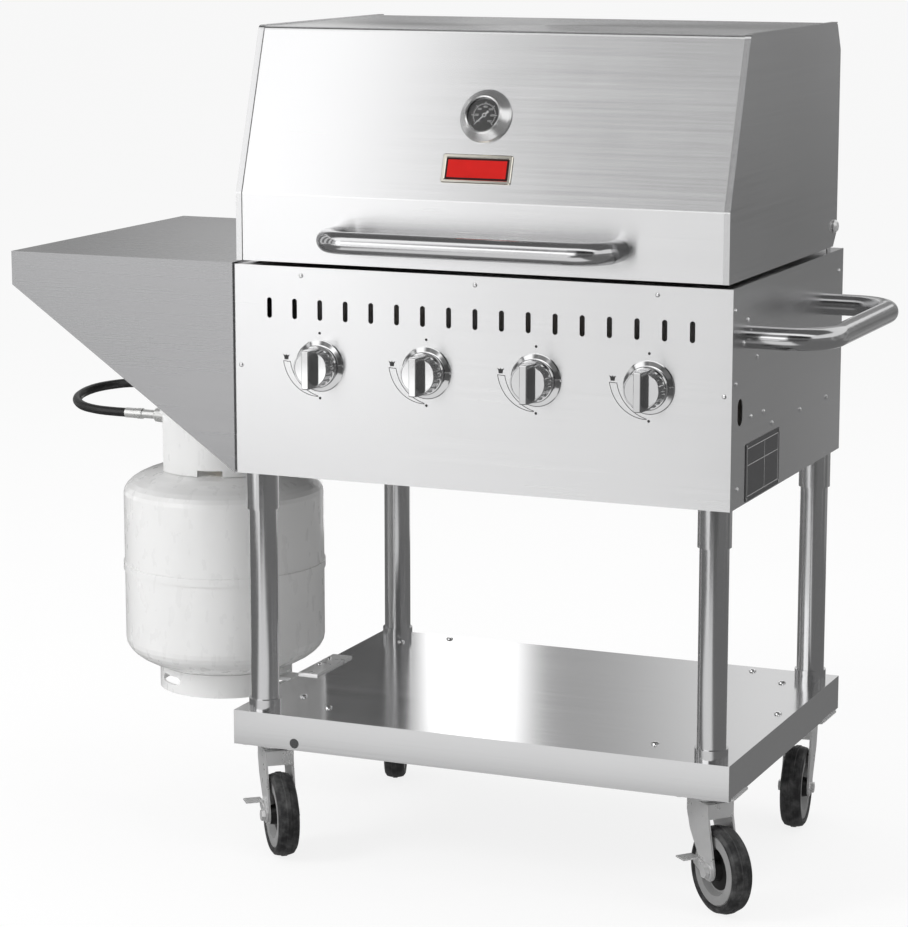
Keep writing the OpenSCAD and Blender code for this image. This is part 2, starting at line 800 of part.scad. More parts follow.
module knob_bezels() {
    r = bezel_d / 2;
    hole_r = stem_hole_d / 2;
    color("black") for (x = knob_x) translate([x, 0, knob_height]) rotate([90, 0, 0])
        rotate_extrude() polygon([[hole_r, 0], [r, 0], [r - 1, bezel_t], [hole_r, bezel_t]]);
}

module burners() {
    color("gray") for (x = knob_x) translate([x, 0, knob_height]) difference() {
        rod_y(burner_front, liner_back + 6, burner_d);
        rod_y(burner_front - cut, liner_back, burner_d - 2 * burner_wall);
        for (s = [-1, 1], y = [control_d + 40:24:liner_back - 30])
            translate([0, y, 0]) rotate([0, s * 60, 0]) translate([-1.5, -6, 0]) cube([3, 12, burner_d]);
    }
}

module heat_tents() {
    tent_path = [[tent_w / 2, tent_z], [tent_w / 2 - 12, tent_z], [6, tent_z + tent_h], [-6, tent_z + tent_h],
        [-tent_w / 2 + 12, tent_z], [-tent_w / 2, tent_z]];
    color("dimgray") for (x = knob_x)
        translate([x, 0, 0]) along_y(control_d + sheet + 1, liner_back - sheet - 1)
            polygon(sheet_outline(tent_path, -sheet));
}

// Each grate fills half of the fire box. Its outer cross bars rest on the liner's ledges.
module cooking_grates() {
    inner = 3;
    outer = liner_half - 3;
    y0 = control_d + sheet + 2;
    y1 = liner_back - sheet - 2;
    bar_z = grate_z + seat_gap + rod_d / 2;
    rods = floor((outer - inner - rod_d) / rod_pitch);
    start = (inner + outer) / 2 - rods * rod_pitch / 2;
    color("dimgray") for (side = [-1, 1]) {
        for (i = [0:rods])
            translate([side * (start + i * rod_pitch), 0, bar_z + 0.9 * rod_d]) rod_y(y0, y1, rod_d);
        for (y = [y0 + rod_d / 2, (y0 + y1) / 2, y1 - rod_d / 2])
            translate([side > 0 ? inner : -outer, y, bar_z]) rod_x(0, outer - inner, rod_d);
    }
}

// Lid

module lid_shell() {
    hemmed = concat([[lid_hem + sheet, lid_bottom]], lid_outline_rounded());
    color("gainsboro") difference() {
        along_x(-lid_end, lid_end) polygon(sheet_outline(hemmed, -sheet));
        for (s = [-1, 1])
            translate([s > 0 ? notch_x : -lid_end - cut, hinge_y - ear_r - 6, lid_bottom - cut])
                cube([lid_end - notch_x + cut, lid_back_gap + 2 * ear_r, hinge_rise + ear_r + 3 + cut]);
        on_slant() translate([0, gauge_up, -20]) cylinder(d = probe_d + 2 * seat_gap, h = 40);
    }
}

// The lid's path, with its bends rounded, from the front bottom to the back bottom
function lid_outline_rounded() = rounded(lid_outline, lid_bend_r);

module lid_side() {
    lip_path = [for (i = [0:3]) lid_outline[i]];
    difference() {
        union() {
            along_x(lid_end, lid_w / 2) polygon(lid_outline_rounded());
            along_x(lid_w / 2 - lid_lip, lid_w / 2)
                polygon(sheet_outline(rounded(lip_path, lid_bend_r), sheet));
        }
        translate([0, hinge_y, hinge_z]) rod_x(lid_end - cut, lid_w / 2 + cut, hinge_d + 2 * run_gap);
    }
}

module lid_left_side() {
    color("darkgray") mirror([1, 0, 0]) lid_side();
}

module lid_right_side() {
    color("darkgray") lid_side();
}

module lid_handle() {
    color("silver") translate([0, 0, lid_bottom + lid_handle_z])
        tube_u(lid_handle_w, lid_handle_reach, lid_handle_bend);
}

module hinge_bolts() {
    color("gray") for (s = [-1, 1]) mirror([s > 0 ? 0 : 1, 0, 0]) translate([0, hinge_y, hinge_z]) {
        rod_x(ear_x - sheet - 6, lid_w / 2 + seat_gap + cut, hinge_d);
        translate([lid_w / 2 + seat_gap, 0, 0]) rotate([0, 90, 0]) rotate_extrude() polygon([
            [0, 0], [bolt_head_d / 2, 0], [bolt_head_d / 2, 2], [bolt_head_d / 2 - 3, bolt_head_h - 1],
            [4, bolt_head_h], [0, bolt_head_h]]);
        rotate([0, 90, 0]) translate([0, 0, ear_x - sheet - seat_gap - 5]) cylinder(d = 17, h = 5, $fn = 6);
        rod_x(ear_x + seat_gap, lid_end - seat_gap, hinge_d + 5);
    }
}

// Drawn on the lid's slanted front: X across, Y up the slant from the bend, Z out of the sheet
module on_slant() {
    translate([0, 0, lid_bottom + lid_front_h]) rotate([90 - slant_tilt, 0, 0]) children();
}

module at_gauge() {
    on_slant() translate([0, gauge_up, 0]) children();
}

module gauge_case() {
    r = gauge_d / 2;
    well = dial_d / 2 + 0.4;
    color("silver") at_gauge() {
        rotate_extrude() polygon([
            [0, 0], [r, 0], [r, 2], [r - 2, 5], [r - 6, 9], [r - 10, gauge_h - 2], [well + 2, gauge_h],
            [well, gauge_h - 1], [well, dial_z - 0.2], [0, dial_z - 0.2]]);
        translate([0, 0, -probe_l]) cylinder(d = probe_d, h = probe_l + cut);
    }
}

module gauge_dial() {
    color("black") at_gauge() {
        translate([0, 0, dial_z]) cylinder(d = dial_d, h = dial_t);
        translate([0, 0, dial_z]) cylinder(d = dial_pin_d, h = needle_z + needle_t - dial_z + 0.6);
    }
}

module gauge_needle() {
    tip = dial_d / 2 - 5;
    tail = 8;
    color("white") at_gauge() rotate([0, 0, needle_rest]) translate([0, 0, needle_z]) difference() {
        union() {
            cylinder(d = dial_pin_d + 3.4, h = needle_t);
            linear_extrude(needle_t) polygon([[-1.1, 0], [-0.4, tip], [0.4, tip], [1.1, 0]]);
            linear_extrude(needle_t) polygon([[-1.1, 0], [1.1, 0], [1.8, -tail], [-1.8, -tail]]);
        }
        translate([0, 0, -cut]) cylinder(d = dial_pin_d + 2 * run_gap, h = needle_t + 2 * cut);
    }
}

module gauge_glass() {
    color("white") at_gauge() translate([0, 0, glass_z]) cylinder(d = dial_d, h = glass_t);
}

module side_handle() {
    color("silver") translate([box_w / 2, box_d / 2 - 5, box_bottom + side_handle_z])
        rotate([0, 0, 90]) tube_u(side_handle_w, side_handle_reach, side_handle_bend);
}

// Side shelf: top and end are one bent sheet, with a tapered gusset at the front and at the back
module side_shelf() {
    inner = -box_w / 2;
    y0 = side_shelf_front;
    y1 = side_shelf_front + side_shelf_d;
    gusset = [[inner, side_shelf_top], [side_shelf_end, side_shelf_top],
        [side_shelf_end, side_shelf_top - side_shelf_fold], [inner, box_bottom]];
    fold_z = side_shelf_top - side_shelf_fold;
    lip = 12;
    tab_z = box_bottom + 4;
    top_path = [[inner, side_shelf_top], [side_shelf_end, side_shelf_top],
        [side_shelf_end, fold_z], [side_shelf_end + lip, fold_z]];
    color("lightgray") {
        along_y(y0, y1) polygon(sheet_outline(top_path, sheet));
        along_y(y0, y0 + sheet) polygon(gusset);
        along_y(y1 - sheet, y1) polygon(gusset);
        for (y = [y0, y1 - fold_w])
            translate([inner - sheet, y, tab_z]) cube([sheet, fold_w, side_shelf_top - tab_z - sheet / 2]);
    }
}

// Gas cylinder

// Half outline of the closed cylinder: the top dome down to the bottom dome
function tank_half(r, top_h, bottom_h) = concat(
    [for (a = [90:-7.5:0]) [r * cos(a), tank_high + top_h * sin(a)]],
    [for (a = [0:7.5:90]) [r * cos(a), tank_low - bottom_h * sin(a)]]);

module at_tank() {
    translate([tank_x, tank_y, 0]) children();
}

module tank_shell() {
    r = tank_d / 2;
    inner = r - tank_wall;
    neck = valve_neck_d / 2 + run_gap;
    band_w = 12;
    mid = (tank_low + tank_high) / 2;
    color("whitesmoke") at_tank() difference() {
        union() {
            rotate_extrude() polygon(tank_half(r, dome_top_h, dome_bottom_h));
            translate([0, 0, mid - band_w / 2]) cylinder(r = r + 2, h = band_w);
        }
        rotate_extrude() polygon(tank_half(inner, dome_top_h - tank_wall, dome_bottom_h - tank_wall));
        translate([0, 0, tank_high]) cylinder(r = neck, h = 2 * dome_top_h);
    }
}

module tank_foot_ring() {
    r = foot_ring_d / 2;
    seat = tank_low - dome_bottom_h * sqrt(1 - pow((r - ring_wall) / (tank_d / 2), 2));
    slot_z = arm_top - arm_t / 2;
    color("whitesmoke") at_tank() difference() {
        translate([0, 0, tank_foot_z])
            ring(foot_ring_d, foot_ring_d - 2 * ring_wall, seat - tank_foot_z - seat_gap);
        for (a = [0, 120, 240])
            rotate([0, 0, a]) along_x(r - 2 * ring_wall - 4, r + cut) translate([0, slot_z]) {
                for (s = [-1, 1]) translate([s * arm_w / 2, 0]) circle(d = arm_slot_h);
                square([arm_w, arm_slot_h], center = true);
            }
    }
}

// The collar is a ring that is open towards the hose, with two hand holes.
module tank_collar() {
    r = guard_d / 2;
    seat = tank_high + dome_top_h * sqrt(1 - pow((r - ring_wall) / (tank_d / 2), 2)) + seat_gap;
    reach = guard_d;
    hand_w = 90;
    hand_h = 32;
    color("whitesmoke") at_tank() difference() {
        union() {
            translate([0, 0, seat]) ring(guard_d, guard_d - 2 * ring_wall, guard_z - seat);
            translate([0, 0, guard_z - 5]) ring(guard_d + 8, guard_d - 2 * ring_wall, 5);
        }
        translate([0, 0, seat - cut]) linear_extrude(guard_z - seat + 2 * cut) polygon([
            [0, 0], [-reach, reach * tan(guard_gap / 2)], [-reach, -reach * tan(guard_gap / 2)]]);
        for (s = [-1, 1])
            rotate([0, 0, s * 50]) along_x(r / 2, r + 10) translate([0, guard_z - 12 - hand_h / 2]) {
                for (t = [-1, 1]) translate([t * (hand_w - hand_h) / 2, 0]) circle(d = hand_h);
                square([hand_w - hand_h, hand_h], center = true);
            }
        for (a = [0, 75, -75])
            rotate([0, 0, a]) translate([r / 2, -20, seat - cut]) cube([r, 40, 10 + cut]);
    }
}

module tank_valve() {
    z = outlet_height;
    color("goldenrod") at_tank() {
        translate([0, 0, dome_top - 14]) cylinder(d = valve_neck_d, h = z - dome_top + 14);
        translate([0, 0, dome_top + seat_gap]) cylinder(d = 44, h = 12, $fn = 6);
        translate([0, 0, z - 15]) cylinder(d = 38, h = 27);
        translate([0, 0, z]) rod_x(-outlet_l, 0, outlet_d);
        translate([0, 0, z]) cylinder(d = spindle_d, h = wheel_knob_z - z + 10);
    }
}

module tank_handwheel() {
    r = 24;
    lobe_r = 5;
    color("dimgray") at_tank() translate([0, 0, wheel_knob_z]) linear_extrude(9) difference() {
        union() {
            circle(r = r - 2);
            for (a = [0:45:315]) rotate(a) translate([r - 4, 0]) circle(r = lobe_r);
        }
        circle(d = spindle_d + 2 * run_gap);
    }
}

// The coupling screws on the valve outlet, and ends in the hose's crimped ferrule.
module tank_coupling() {
    hose_end = tank_x - hose_route[0][0];
    grip = 16;
    nut_front = outlet_l - grip;
    cone_end = 118;
    fitting_end = 143;
    ferrule_start = 152;
    color("lightgray") at_tank() translate([0, 0, outlet_height]) rotate([0, -90, 0]) difference() {
        rotate_extrude() polygon([
            [0, nut_front], [19, nut_front], [19, nut_front + 10], [17, outlet_l], [11, cone_end],
            [7, cone_end + 3], [7, fitting_end], [8.5, fitting_end], [8.5, ferrule_start], [8, ferrule_start],
            [8, hose_end], [0, hose_end]]);
        translate([0, 0, nut_front - cut]) cylinder(d = outlet_d + 2 * run_gap, h = grip + cut + seat_gap);
    }
}

module regulator() {
    x = regulator_x;
    hose_end = hose_route[len(hose_route) - 1][1];
    body_r = 34;
    color("gray") translate([0, manifold_y, manifold_z]) {
        translate([x, 0, -13]) rotate_extrude() polygon([
            [0, 0], [body_r - 4, 0], [body_r, 4], [body_r, 10], [body_r - 4, 12], [body_r - 8, 20], [12, 26],
            [0, 28]]);
        rod_x(x, manifold_left, 18);
        translate([x, 0, 0]) rod_y(0, hose_end - manifold_y, 16);
        translate([x, 0, 0]) rod_y(body_r - 4, body_r + 18, 20);
    }
}

// Bracket on the shelf's left edge. Its arm reaches through the foot ring and carries the cylinder.
module tank_bracket() {
    plate_l = 128;
    plate_w = 33;
    edge = -shelf_w / 2;
    plate_shift = 6;
    y0 = tank_y + plate_shift - plate_l / 2;
    arm_bottom = arm_top - arm_t;
    arm_past = 40;
    arm_end = tank_x - arm_past;
    color("gray") {
        translate([edge - bracket_t, y0, shelf_top]) cube([plate_w, plate_l, bracket_t]);
        translate([edge - bracket_t, y0, arm_bottom])
            cube([bracket_t, plate_l, shelf_top - arm_bottom + cut]);
        translate([arm_end, tank_y - arm_w / 2, arm_bottom])
            cube([edge - arm_end - bracket_t / 2, arm_w, arm_t]);
    }
}

// Hose: one tube swept along a smooth curve through the route's points

function curve_at(p, i, t) =
    let (a = p[max(i - 1, 0)], b = p[i], c = p[i + 1], d = p[min(i + 2, len(p) - 1)])
    0.5 * (2 * b + (c - a) * t + (2 * a - 5 * b + 4 * c - d) * t * t + (3 * b - a - 3 * c + d) * t * t * t);
function smooth(p, n) = concat(
    [for (i = [0:len(p) - 2], k = [0:n - 1]) curve_at(p, i, k / n)], [p[len(p) - 1]]);
function heading(p, i) = unit(p[min(i + 1, len(p) - 1)] - p[max(i - 1, 0)]);
function hoop(c, h, r, sides) =
    let (u = unit(cross(h, [0, 0, 1])), v = cross(u, h))
    [for (k = [0:sides - 1]) c + r * (cos(360 * k / sides) * u + sin(360 * k / sides) * v)];

module hose() {
    path = smooth(hose_route, hose_steps);
    n = len(path);
    ends = [[-1, 0, 0], [0, -1, 0]];
    points = [for (i = [0:n - 1]) each hoop(path[i],
        i == 0 ? ends[0] : i == n - 1 ? ends[1] : heading(path, i), hose_d / 2, hose_sides)];
    walls = [for (i = [0:n - 2], k = [0:hose_sides - 1]) let (j = (k + 1) % hose_sides)
        each [[i * hose_sides + k, i * hose_sides + j, (i + 1) * hose_sides + j],
              [i * hose_sides + k, (i + 1) * hose_sides + j, (i + 1) * hose_sides + k]]];
    caps = [[for (k = [hose_sides - 1:-1:0]) k], [for (k = [0:hose_sides - 1]) (n - 1) * hose_sides + k]];
    color("black") polyhedron(points = points, faces = concat(walls, caps));
}

// Round-head screws, on the faces that they hold

module screw_head(d, h) {
    rotate_extrude() polygon([[0, 0], [d / 2, 0], [d / 2 - 0.6, h * 0.6], [d / 4, h], [0, h]]);
}

module screws() {
    half_w = box_w / 2;
    top_row = box_h - 12.5;
    end_in = 11;
    wide_in = 109;
    front = [
        [-half_w + wide_in, top_row], [0, top_row], [half_w - wide_in, top_row], [-half_w + end_in, knob_z - 6],
        [half_w - end_in, knob_z - 6]];
    floor_bolts = [
        [63, 109, -1, -1], [126, 64, -1, -1], [60, 70, -1, 1], [125, 20, -1, 1], [134, 70, 1, -1],
        [132, 26, 1, 1], [68, 79, 1, 1], [20, 255, 1, 1]];
    right = [
        [10, 278], [67, 259], [51, 229], [112, 201], [18, 176], [147, 118], [89, 120], [189, 95],
        [box_d - 213, 93], [box_d - 77, 91], [31, 26], [box_d - 22, 276]];
    color("gray") {
        for (p = front) translate([p[0], 0, box_bottom + p[1]]) rotate([90, 0, 0]) screw_head(7, 2);
        for (p = floor_bolts)
            translate([p[2] * (shelf_w / 2 - p[0]), box_d / 2 + p[3] * (shelf_d / 2 - p[1]), shelf_top])
                screw_head(12, 3.5);
        for (p = right) translate([half_w, p[0], box_bottom + p[1]]) rotate([0, 90, 0]) screw_head(8, 2.2);
        for (y = [0, 36])
            translate([-shelf_w / 2 + 6, tank_y + y, shelf_top + bracket_t]) screw_head(9, 3);
    }
}

place() lower_shelf();
place() caster_plates();
place() fork(0);  // fork_front_left
place() fork(1);  // fork_front_right
place() fork(2);  // fork_back_left
place() fork(3);  // fork_back_right
place() tyre(0);  // tyre_front_left
place() tyre(1);  // tyre_front_right
place() tyre(2);  // tyre_back_left
place() tyre(3);  // tyre_back_right
place() hub(0);  // hub_front_left
place() hub(1);  // hub_front_right
place() hub(2);  // hub_back_left
place() hub(3);  // hub_back_right
place() brake_lever(0);  // brake_lever_left
place() brake_lever(1);  // brake_lever_right
place() leg_tubes();
place() leg_sockets();
place() front_panel();
place() left_side_panel();
place() right_side_panel();
place() rear_panel();
place() box_liner();
place() tray_rails();
place() drip_tray();
place() gas_manifold();
place() gas_valves();
place() spring_cup(0);  // spring_cup_1
place() spring_cup(1);  // spring_cup_2
place() spring_cup(2);  // spring_cup_3
place() spring_cup(3);  // spring_cup_4
place() knob(0);  // knob_1
place() knob(1);  // knob_2
place() knob(2);  // knob_3
place() knob(3);  // knob_4
place() knob_bezels();
place() burners();
place() heat_tents();
place() cooking_grates();
place() lid_shell();
place() lid_left_side();
place() lid_right_side();
place() lid_handle();
place() gauge_case();
place() gauge_dial();
place() gauge_needle();
place() gauge_glass();
place() hinge_bolts();
place() side_handle();
place() side_shelf();
place() tank_bracket();
place() tank_shell();
place() tank_foot_ring();
place() tank_collar();
place() tank_valve();
place() tank_handwheel();
place() tank_coupling();
place() regulator();
place() hose();
place() screws();
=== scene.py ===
"""Gas grill on a caster cart: finishes, small trim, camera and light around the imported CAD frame.

Metres. X runs to the right, Y to the back, Z up, and the floor is at Z = 0.
The trim is laid out in millimetres from the middle of the front panel's face, with heights from the floor.
"""

import json
import math

import bmesh
import bpy
from mathutils import Matrix, Vector


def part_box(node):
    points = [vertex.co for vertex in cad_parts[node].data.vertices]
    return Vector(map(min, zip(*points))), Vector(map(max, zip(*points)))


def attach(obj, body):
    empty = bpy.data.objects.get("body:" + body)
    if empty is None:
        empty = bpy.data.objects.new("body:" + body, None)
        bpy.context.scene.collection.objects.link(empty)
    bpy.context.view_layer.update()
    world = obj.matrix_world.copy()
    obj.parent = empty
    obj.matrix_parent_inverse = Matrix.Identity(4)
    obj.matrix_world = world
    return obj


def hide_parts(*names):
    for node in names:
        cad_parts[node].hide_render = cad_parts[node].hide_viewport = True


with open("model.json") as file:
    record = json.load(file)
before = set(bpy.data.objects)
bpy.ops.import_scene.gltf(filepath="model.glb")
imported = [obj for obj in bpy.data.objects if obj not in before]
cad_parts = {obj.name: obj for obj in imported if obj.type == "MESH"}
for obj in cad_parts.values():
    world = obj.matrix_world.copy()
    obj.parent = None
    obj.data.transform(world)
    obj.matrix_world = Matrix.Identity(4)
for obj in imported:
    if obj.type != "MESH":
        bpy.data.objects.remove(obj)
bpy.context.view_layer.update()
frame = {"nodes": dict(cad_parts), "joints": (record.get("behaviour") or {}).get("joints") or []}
NODES = frame["nodes"]


def node_box(name):
    """A CAD node's lowest and highest corner, in millimetres of the frame."""
    return [[round(1000 * v, 2) for v in corner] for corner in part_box(name)]


# The fire box, from its front panel
PANEL_LOW, PANEL_HIGH = node_box("front_panel")
MIDDLE = Vector(((PANEL_LOW[0] + PANEL_HIGH[0]) / 2, PANEL_LOW[1], 0.0))
BOX_HALF = (PANEL_HIGH[0] - PANEL_LOW[0]) / 2
BOX_BOTTOM = PANEL_LOW[2]

# The lid's slanted front: the height of its lower bend, how far it rises, and how far back its top is
LID_BEND = 998.0
SLANT_RISE = 236.0
SLANT_BACK = 80.5
SLANT_TILT = math.atan(SLANT_BACK / SLANT_RISE)

# The gauge: its middle's distance up the slant, and its dial's height over the sheet
GAUGE_UP = 124.0
DIAL_FACE = 7.0

# The knobs, and how far a knob's skirt stands off the front panel
KNOBS = ("knob_1", "knob_2", "knob_3", "knob_4")
KNOB_BACK = 9.0

# The camera: its place, its turn to the left and its dip in degrees, its lens and film height in
# millimetres, and how far it sees in metres
EYE = (1651.1, -3953.3, 1429.1)
TURN_LEFT = 23.063
DIP = 10.618
LENS = 118.92
FILM_HEIGHT = 36
FARTHEST_SEEN = 200

# The world's level where it lights the object, and where it is seen or mirrored
ROOM_LEVEL = 0.55
SEEN_LEVEL = 1.0
WHITE = (1, 1, 1, 1)

# The hose's route from the cylinder's coupling to the regulator, as in the CAD
HOSE_ROUTE = [
    (-720, 280, 608), (-745, 280, 608), (-775, 281, 609), (-805, 289, 612), (-828, 311, 617),
    (-836, 342, 622), (-828, 373, 627), (-805, 395, 631), (-775, 404, 634), (-730, 406, 634),
    (-680, 406, 633), (-630, 406, 632), (-580, 405, 632), (-535, 398, 634), (-495, 378, 638),
    (-464, 348, 645), (-443, 308, 655), (-432, 266, 668), (-427, 225, 684), (-425, 185, 701),
    (-425, 155, 714), (-425, 127, 720),
]
HOSE_STEPS = 4
HOSE_ROUNDNESS = 4

# Its diameter in metres
HOSE_DIAMETER = 0.0146

CORNERS = ("front_left", "front_right", "back_left", "back_right")


def at(x, y, z):
    """A point given in millimetres from the front panel's middle, as a point of the frame."""
    return (Vector((x, y, z)) + MIDDLE) / 1000


def added(name, data):
    """A new object in the scene."""
    made = bpy.data.objects.new(name, data)
    bpy.context.scene.collection.objects.link(made)
    return made


def aimed(place, look):
    """The matrix of a camera or lamp at a place that looks along a direction."""
    return Matrix.Translation(place) @ look.to_track_quat("-Z", "Y").to_matrix().to_4x4()


# Camera and hose


def make_camera():
    """The photograph's view: a long lens from the right, a little above the lid."""
    turn, dip = math.radians(TURN_LEFT), math.radians(DIP)
    data = bpy.data.cameras.new("camera")
    data.sensor_fit = "VERTICAL"
    data.sensor_height = FILM_HEIGHT
    data.lens = LENS
    data.clip_end = FARTHEST_SEEN
    camera = added("camera", data)
    look = Vector((-math.sin(turn) * math.cos(dip), math.cos(turn) * math.cos(dip), -math.sin(dip)))
    camera.matrix_world = aimed(at(*EYE), look)
    bpy.context.scene.camera = camera


def smooth_route(route, steps):
    """The CAD's smooth curve through the route's points, with steps points for each stretch."""
    last = len(route) - 1
    points = []
    for i in range(last):
        a, b, c, d = (Vector(route[k]) for k in (max(i - 1, 0), i, i + 1, min(i + 2, last)))
        for k in range(steps):
            t = k / steps
            points.append(0.5 * (2 * b + (c - a) * t + (2 * a - 5 * b + 4 * c - d) * t ** 2
                                 + (3 * b - a - 3 * c + d) * t ** 3))
    return points + [Vector(route[last])]


def make_hose(finish):
    """The gas hose, as a round curve along its route."""
    points = [at(*p) for p in smooth_route(HOSE_ROUTE, HOSE_STEPS)]
    data = bpy.data.curves.new("hose_run", "CURVE")
    data.dimensions = "3D"
    data.bevel_depth = HOSE_DIAMETER / 2
    data.bevel_resolution = HOSE_ROUNDNESS
    data.use_fill_caps = True
    spline = data.splines.new("POLY")
    spline.points.add(len(points) - 1)
    for spot, p in zip(spline.points, points):
        spot.co = (*p, 1)
    hose = added("hose_run", data)
    data.materials.append(finish)
    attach(hose, "root")
    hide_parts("hose")


# Node trees


class Signal:
    """A socket of a node tree. Python's operators add Math nodes."""

    def __init__(self, nodes, socket):
        self.nodes = nodes
        self.socket = socket

    def __add__(self, other):
        return self.nodes.math("ADD", self, other)

    __radd__ = __add__

    def __sub__(self, other):
        return self.nodes.math("SUBTRACT", self, other)

    def __rsub__(self, other):
        return self.nodes.math("SUBTRACT", other, self)

    def __mul__(self, other):
        return self.nodes.math("MULTIPLY", self, other)

    __rmul__ = __mul__

    def step(self, start, end):
        """0 up to the start, 1 from the end on, and smooth between them. The end may be the lower one."""
        values = {"Value": self, "From Min": start, "From Max": end}
        return self.nodes.node("ShaderNodeMapRange", {"interpolation_type": "SMOOTHSTEP"}, values)


class Nodes:
    """The node tree of a material or of the world."""

    def __init__(self, owner):
        owner.use_nodes = True
        self.tree = owner.node_tree
        self.tree.nodes.clear()

    def node(self, kind, settings=None, values=None, out=0):
        """Adds a node with its settings, then with the values or links of its sockets."""
        made = self.tree.nodes.new(kind)
        for name, value in (settings or {}).items():
            setattr(made, name, value)
        for key, value in (values or {}).items():
            if isinstance(value, Signal):
                self.tree.links.new(value.socket, made.inputs[key])
            else:
                made.inputs[key].default_value = value
        return Signal(self, made.outputs[out]) if made.outputs else None

    def math(self, operation, *values):
        return self.node("ShaderNodeMath", {"operation": operation}, dict(enumerate(values)))

    def seen(self):
        """1 for what the camera, a reflection or a glass sees, and 0 for what lights the object."""
        camera, mirrored, glass = (self.node("ShaderNodeLightPath", out=f"Is {ray} Ray")
                                   for ray in ("Camera", "Glossy", "Transmission"))
        return self.math("MAXIMUM", camera, self.math("MAXIMUM", mirrored, glass))

    def glow(self, strength):
        return self.node("ShaderNodeEmission", None, {"Color": WHITE, "Strength": strength})


class Finish(Nodes):
    """A material built from nodes. Object coordinates are the frame's own, in metres."""

    def __init__(self, name):
        self.material = bpy.data.materials.new(name)
        super().__init__(self.material)
        self.place = self.node("ShaderNodeTexCoord", out="Object")

    def along(self, axis):
        """The place along one axis: X, Y or Z."""
        return self.node("ShaderNodeSeparateXYZ", None, {0: self.place}, out=axis)

    def vector(self, operation, first, second, out=0):
        return self.node("ShaderNodeVectorMath", {"operation": operation}, {0: first, 1: second}, out)

    def noise(self, repeats, detail=2.0, roughness=0.5):
        """A noise that repeats so many times a metre: one number, or one for each axis."""
        each_way = repeats if isinstance(repeats, tuple) else (repeats,) * 3
        values = {"Vector": self.vector("MULTIPLY", self.place, each_way), "Scale": 1.0, "Detail": detail,
                  "Roughness": roughness}
        return self.node("ShaderNodeTexNoise", None, values)

    def mix(self, low, high, factor):
        """A colour between low and high."""
        settings = {"data_type": "RGBA", "clamp_factor": True}
        return self.node("ShaderNodeMix", settings, {0: factor, 6: opaque(low), 7: opaque(high)}, out=2)

    def toned(self, colour, low, high, tone):
        """A colour whose lightness runs with a texture from low to high, where 1 is the colour itself."""
        return self.mix(shade(colour, low), shade(colour, high), tone)

    def bump(self, height, microns, strength):
        values = {"Height": height, "Distance": microns / 1e6, "Strength": strength}
        return self.node("ShaderNodeBump", None, values)

    def end_in(self, shader):
        """Ends the finish in a shader, and gives the material."""
        self.node("ShaderNodeOutputMaterial", None, {"Surface": shader})
        return self.material

    def surface(self, **sockets):
        """Ends the finish in one shader, whose sockets are named with _ for a space."""
        values = {name.replace("_", " "): value for name, value in sockets.items()}
        return self.end_in(self.node("ShaderNodeBsdfPrincipled", None, values))


def opaque(colour):
    """A colour of three numbers with its alpha. A colour from another node stays as it is."""
    return (*colour, 1) if isinstance(colour, tuple) else colour


def shade(colour, amount):
    """A colour made lighter or darker in proportion."""
    return tuple(min(1.0, c * amount) for c in colour)


def grey(level):
    return (level, level, level)


def blended(main, other, share):
    """Two values added up, with this share of the other one."""
    return main * (1 - share) + other * share


def varied(middle, *textures):
    """A value that textures move about its middle. Each comes with how much its whole range adds."""
    value = middle - sum(amount for _, amount in textures) / 2
    for texture, amount in textures:
        value = texture * amount + value
    return value


def bands(place, tone, *changes):
    """A tone along an axis. Each change is where it starts, where it ends, and how much it adds."""
    for start, end, amount in changes:
        tone = place.step(start, end) * amount + tone
    return tone


# Finishes. Noises are in repeats a metre


def streaks(along, lengthwise, across):
    """Repeats a metre on each axis, for lines that run along one of them."""
    return tuple(lengthwise if axis == along else across for axis in "XYZ")


def brushed_sheet(name, colour, roughness, along, contrast=0.10, drawn=0.0):
    """Stainless sheet with fine brush lines that run along one axis, and faint handling clouds.

    drawn is how far an upright sheet's reflections are drawn out up and down, across its brush lines."""
    finish = Finish(name)
    lines = finish.noise(streaks(along, 1.6, 190.0), detail=3, roughness=0.65)
    hair = finish.noise(streaks(along, 6.0, 900.0), detail=1)
    cloud = finish.noise(3.5, detail=4, roughness=0.6)
    grain = blended(lines, hair, 0.4)
    return finish.surface(
        Base_Color=finish.toned(colour, 1 - contrast, 1 + contrast, blended(grain, cloud, 0.3)),
        Metallic=1.0,
        Anisotropic=drawn,
        Anisotropic_Rotation=0.25,
        Roughness=varied(roughness, (grain, 0.12), (cloud, 0.08)),
        Normal=finish.bump(grain, microns=60, strength=0.5))


def polished_tube(name, colour, roughness):
    """Round stainless tube with a fine polishing grain and a few rub marks."""
    finish = Finish(name)
    grain = finish.noise(380.0)
    cloud = finish.noise(14.0, detail=3)
    return finish.surface(
        Base_Color=finish.toned(colour, 0.92, 1.06, blended(grain, cloud, 0.5)),
        Metallic=1.0,
        Roughness=varied(roughness, (grain, 0.08), (cloud, 0.10)),
        Normal=finish.bump(grain, microns=30, strength=0.4))


def chrome_plate(name, colour, roughness=0.08):
    """Chrome with a faint haze."""
    finish = Finish(name)
    haze = finish.noise(60.0, detail=3)
    return finish.surface(
        Base_Color=finish.toned(colour, 0.94, 1.0, haze),
        Metallic=1.0,
        Roughness=varied(roughness, (haze, 0.06)))


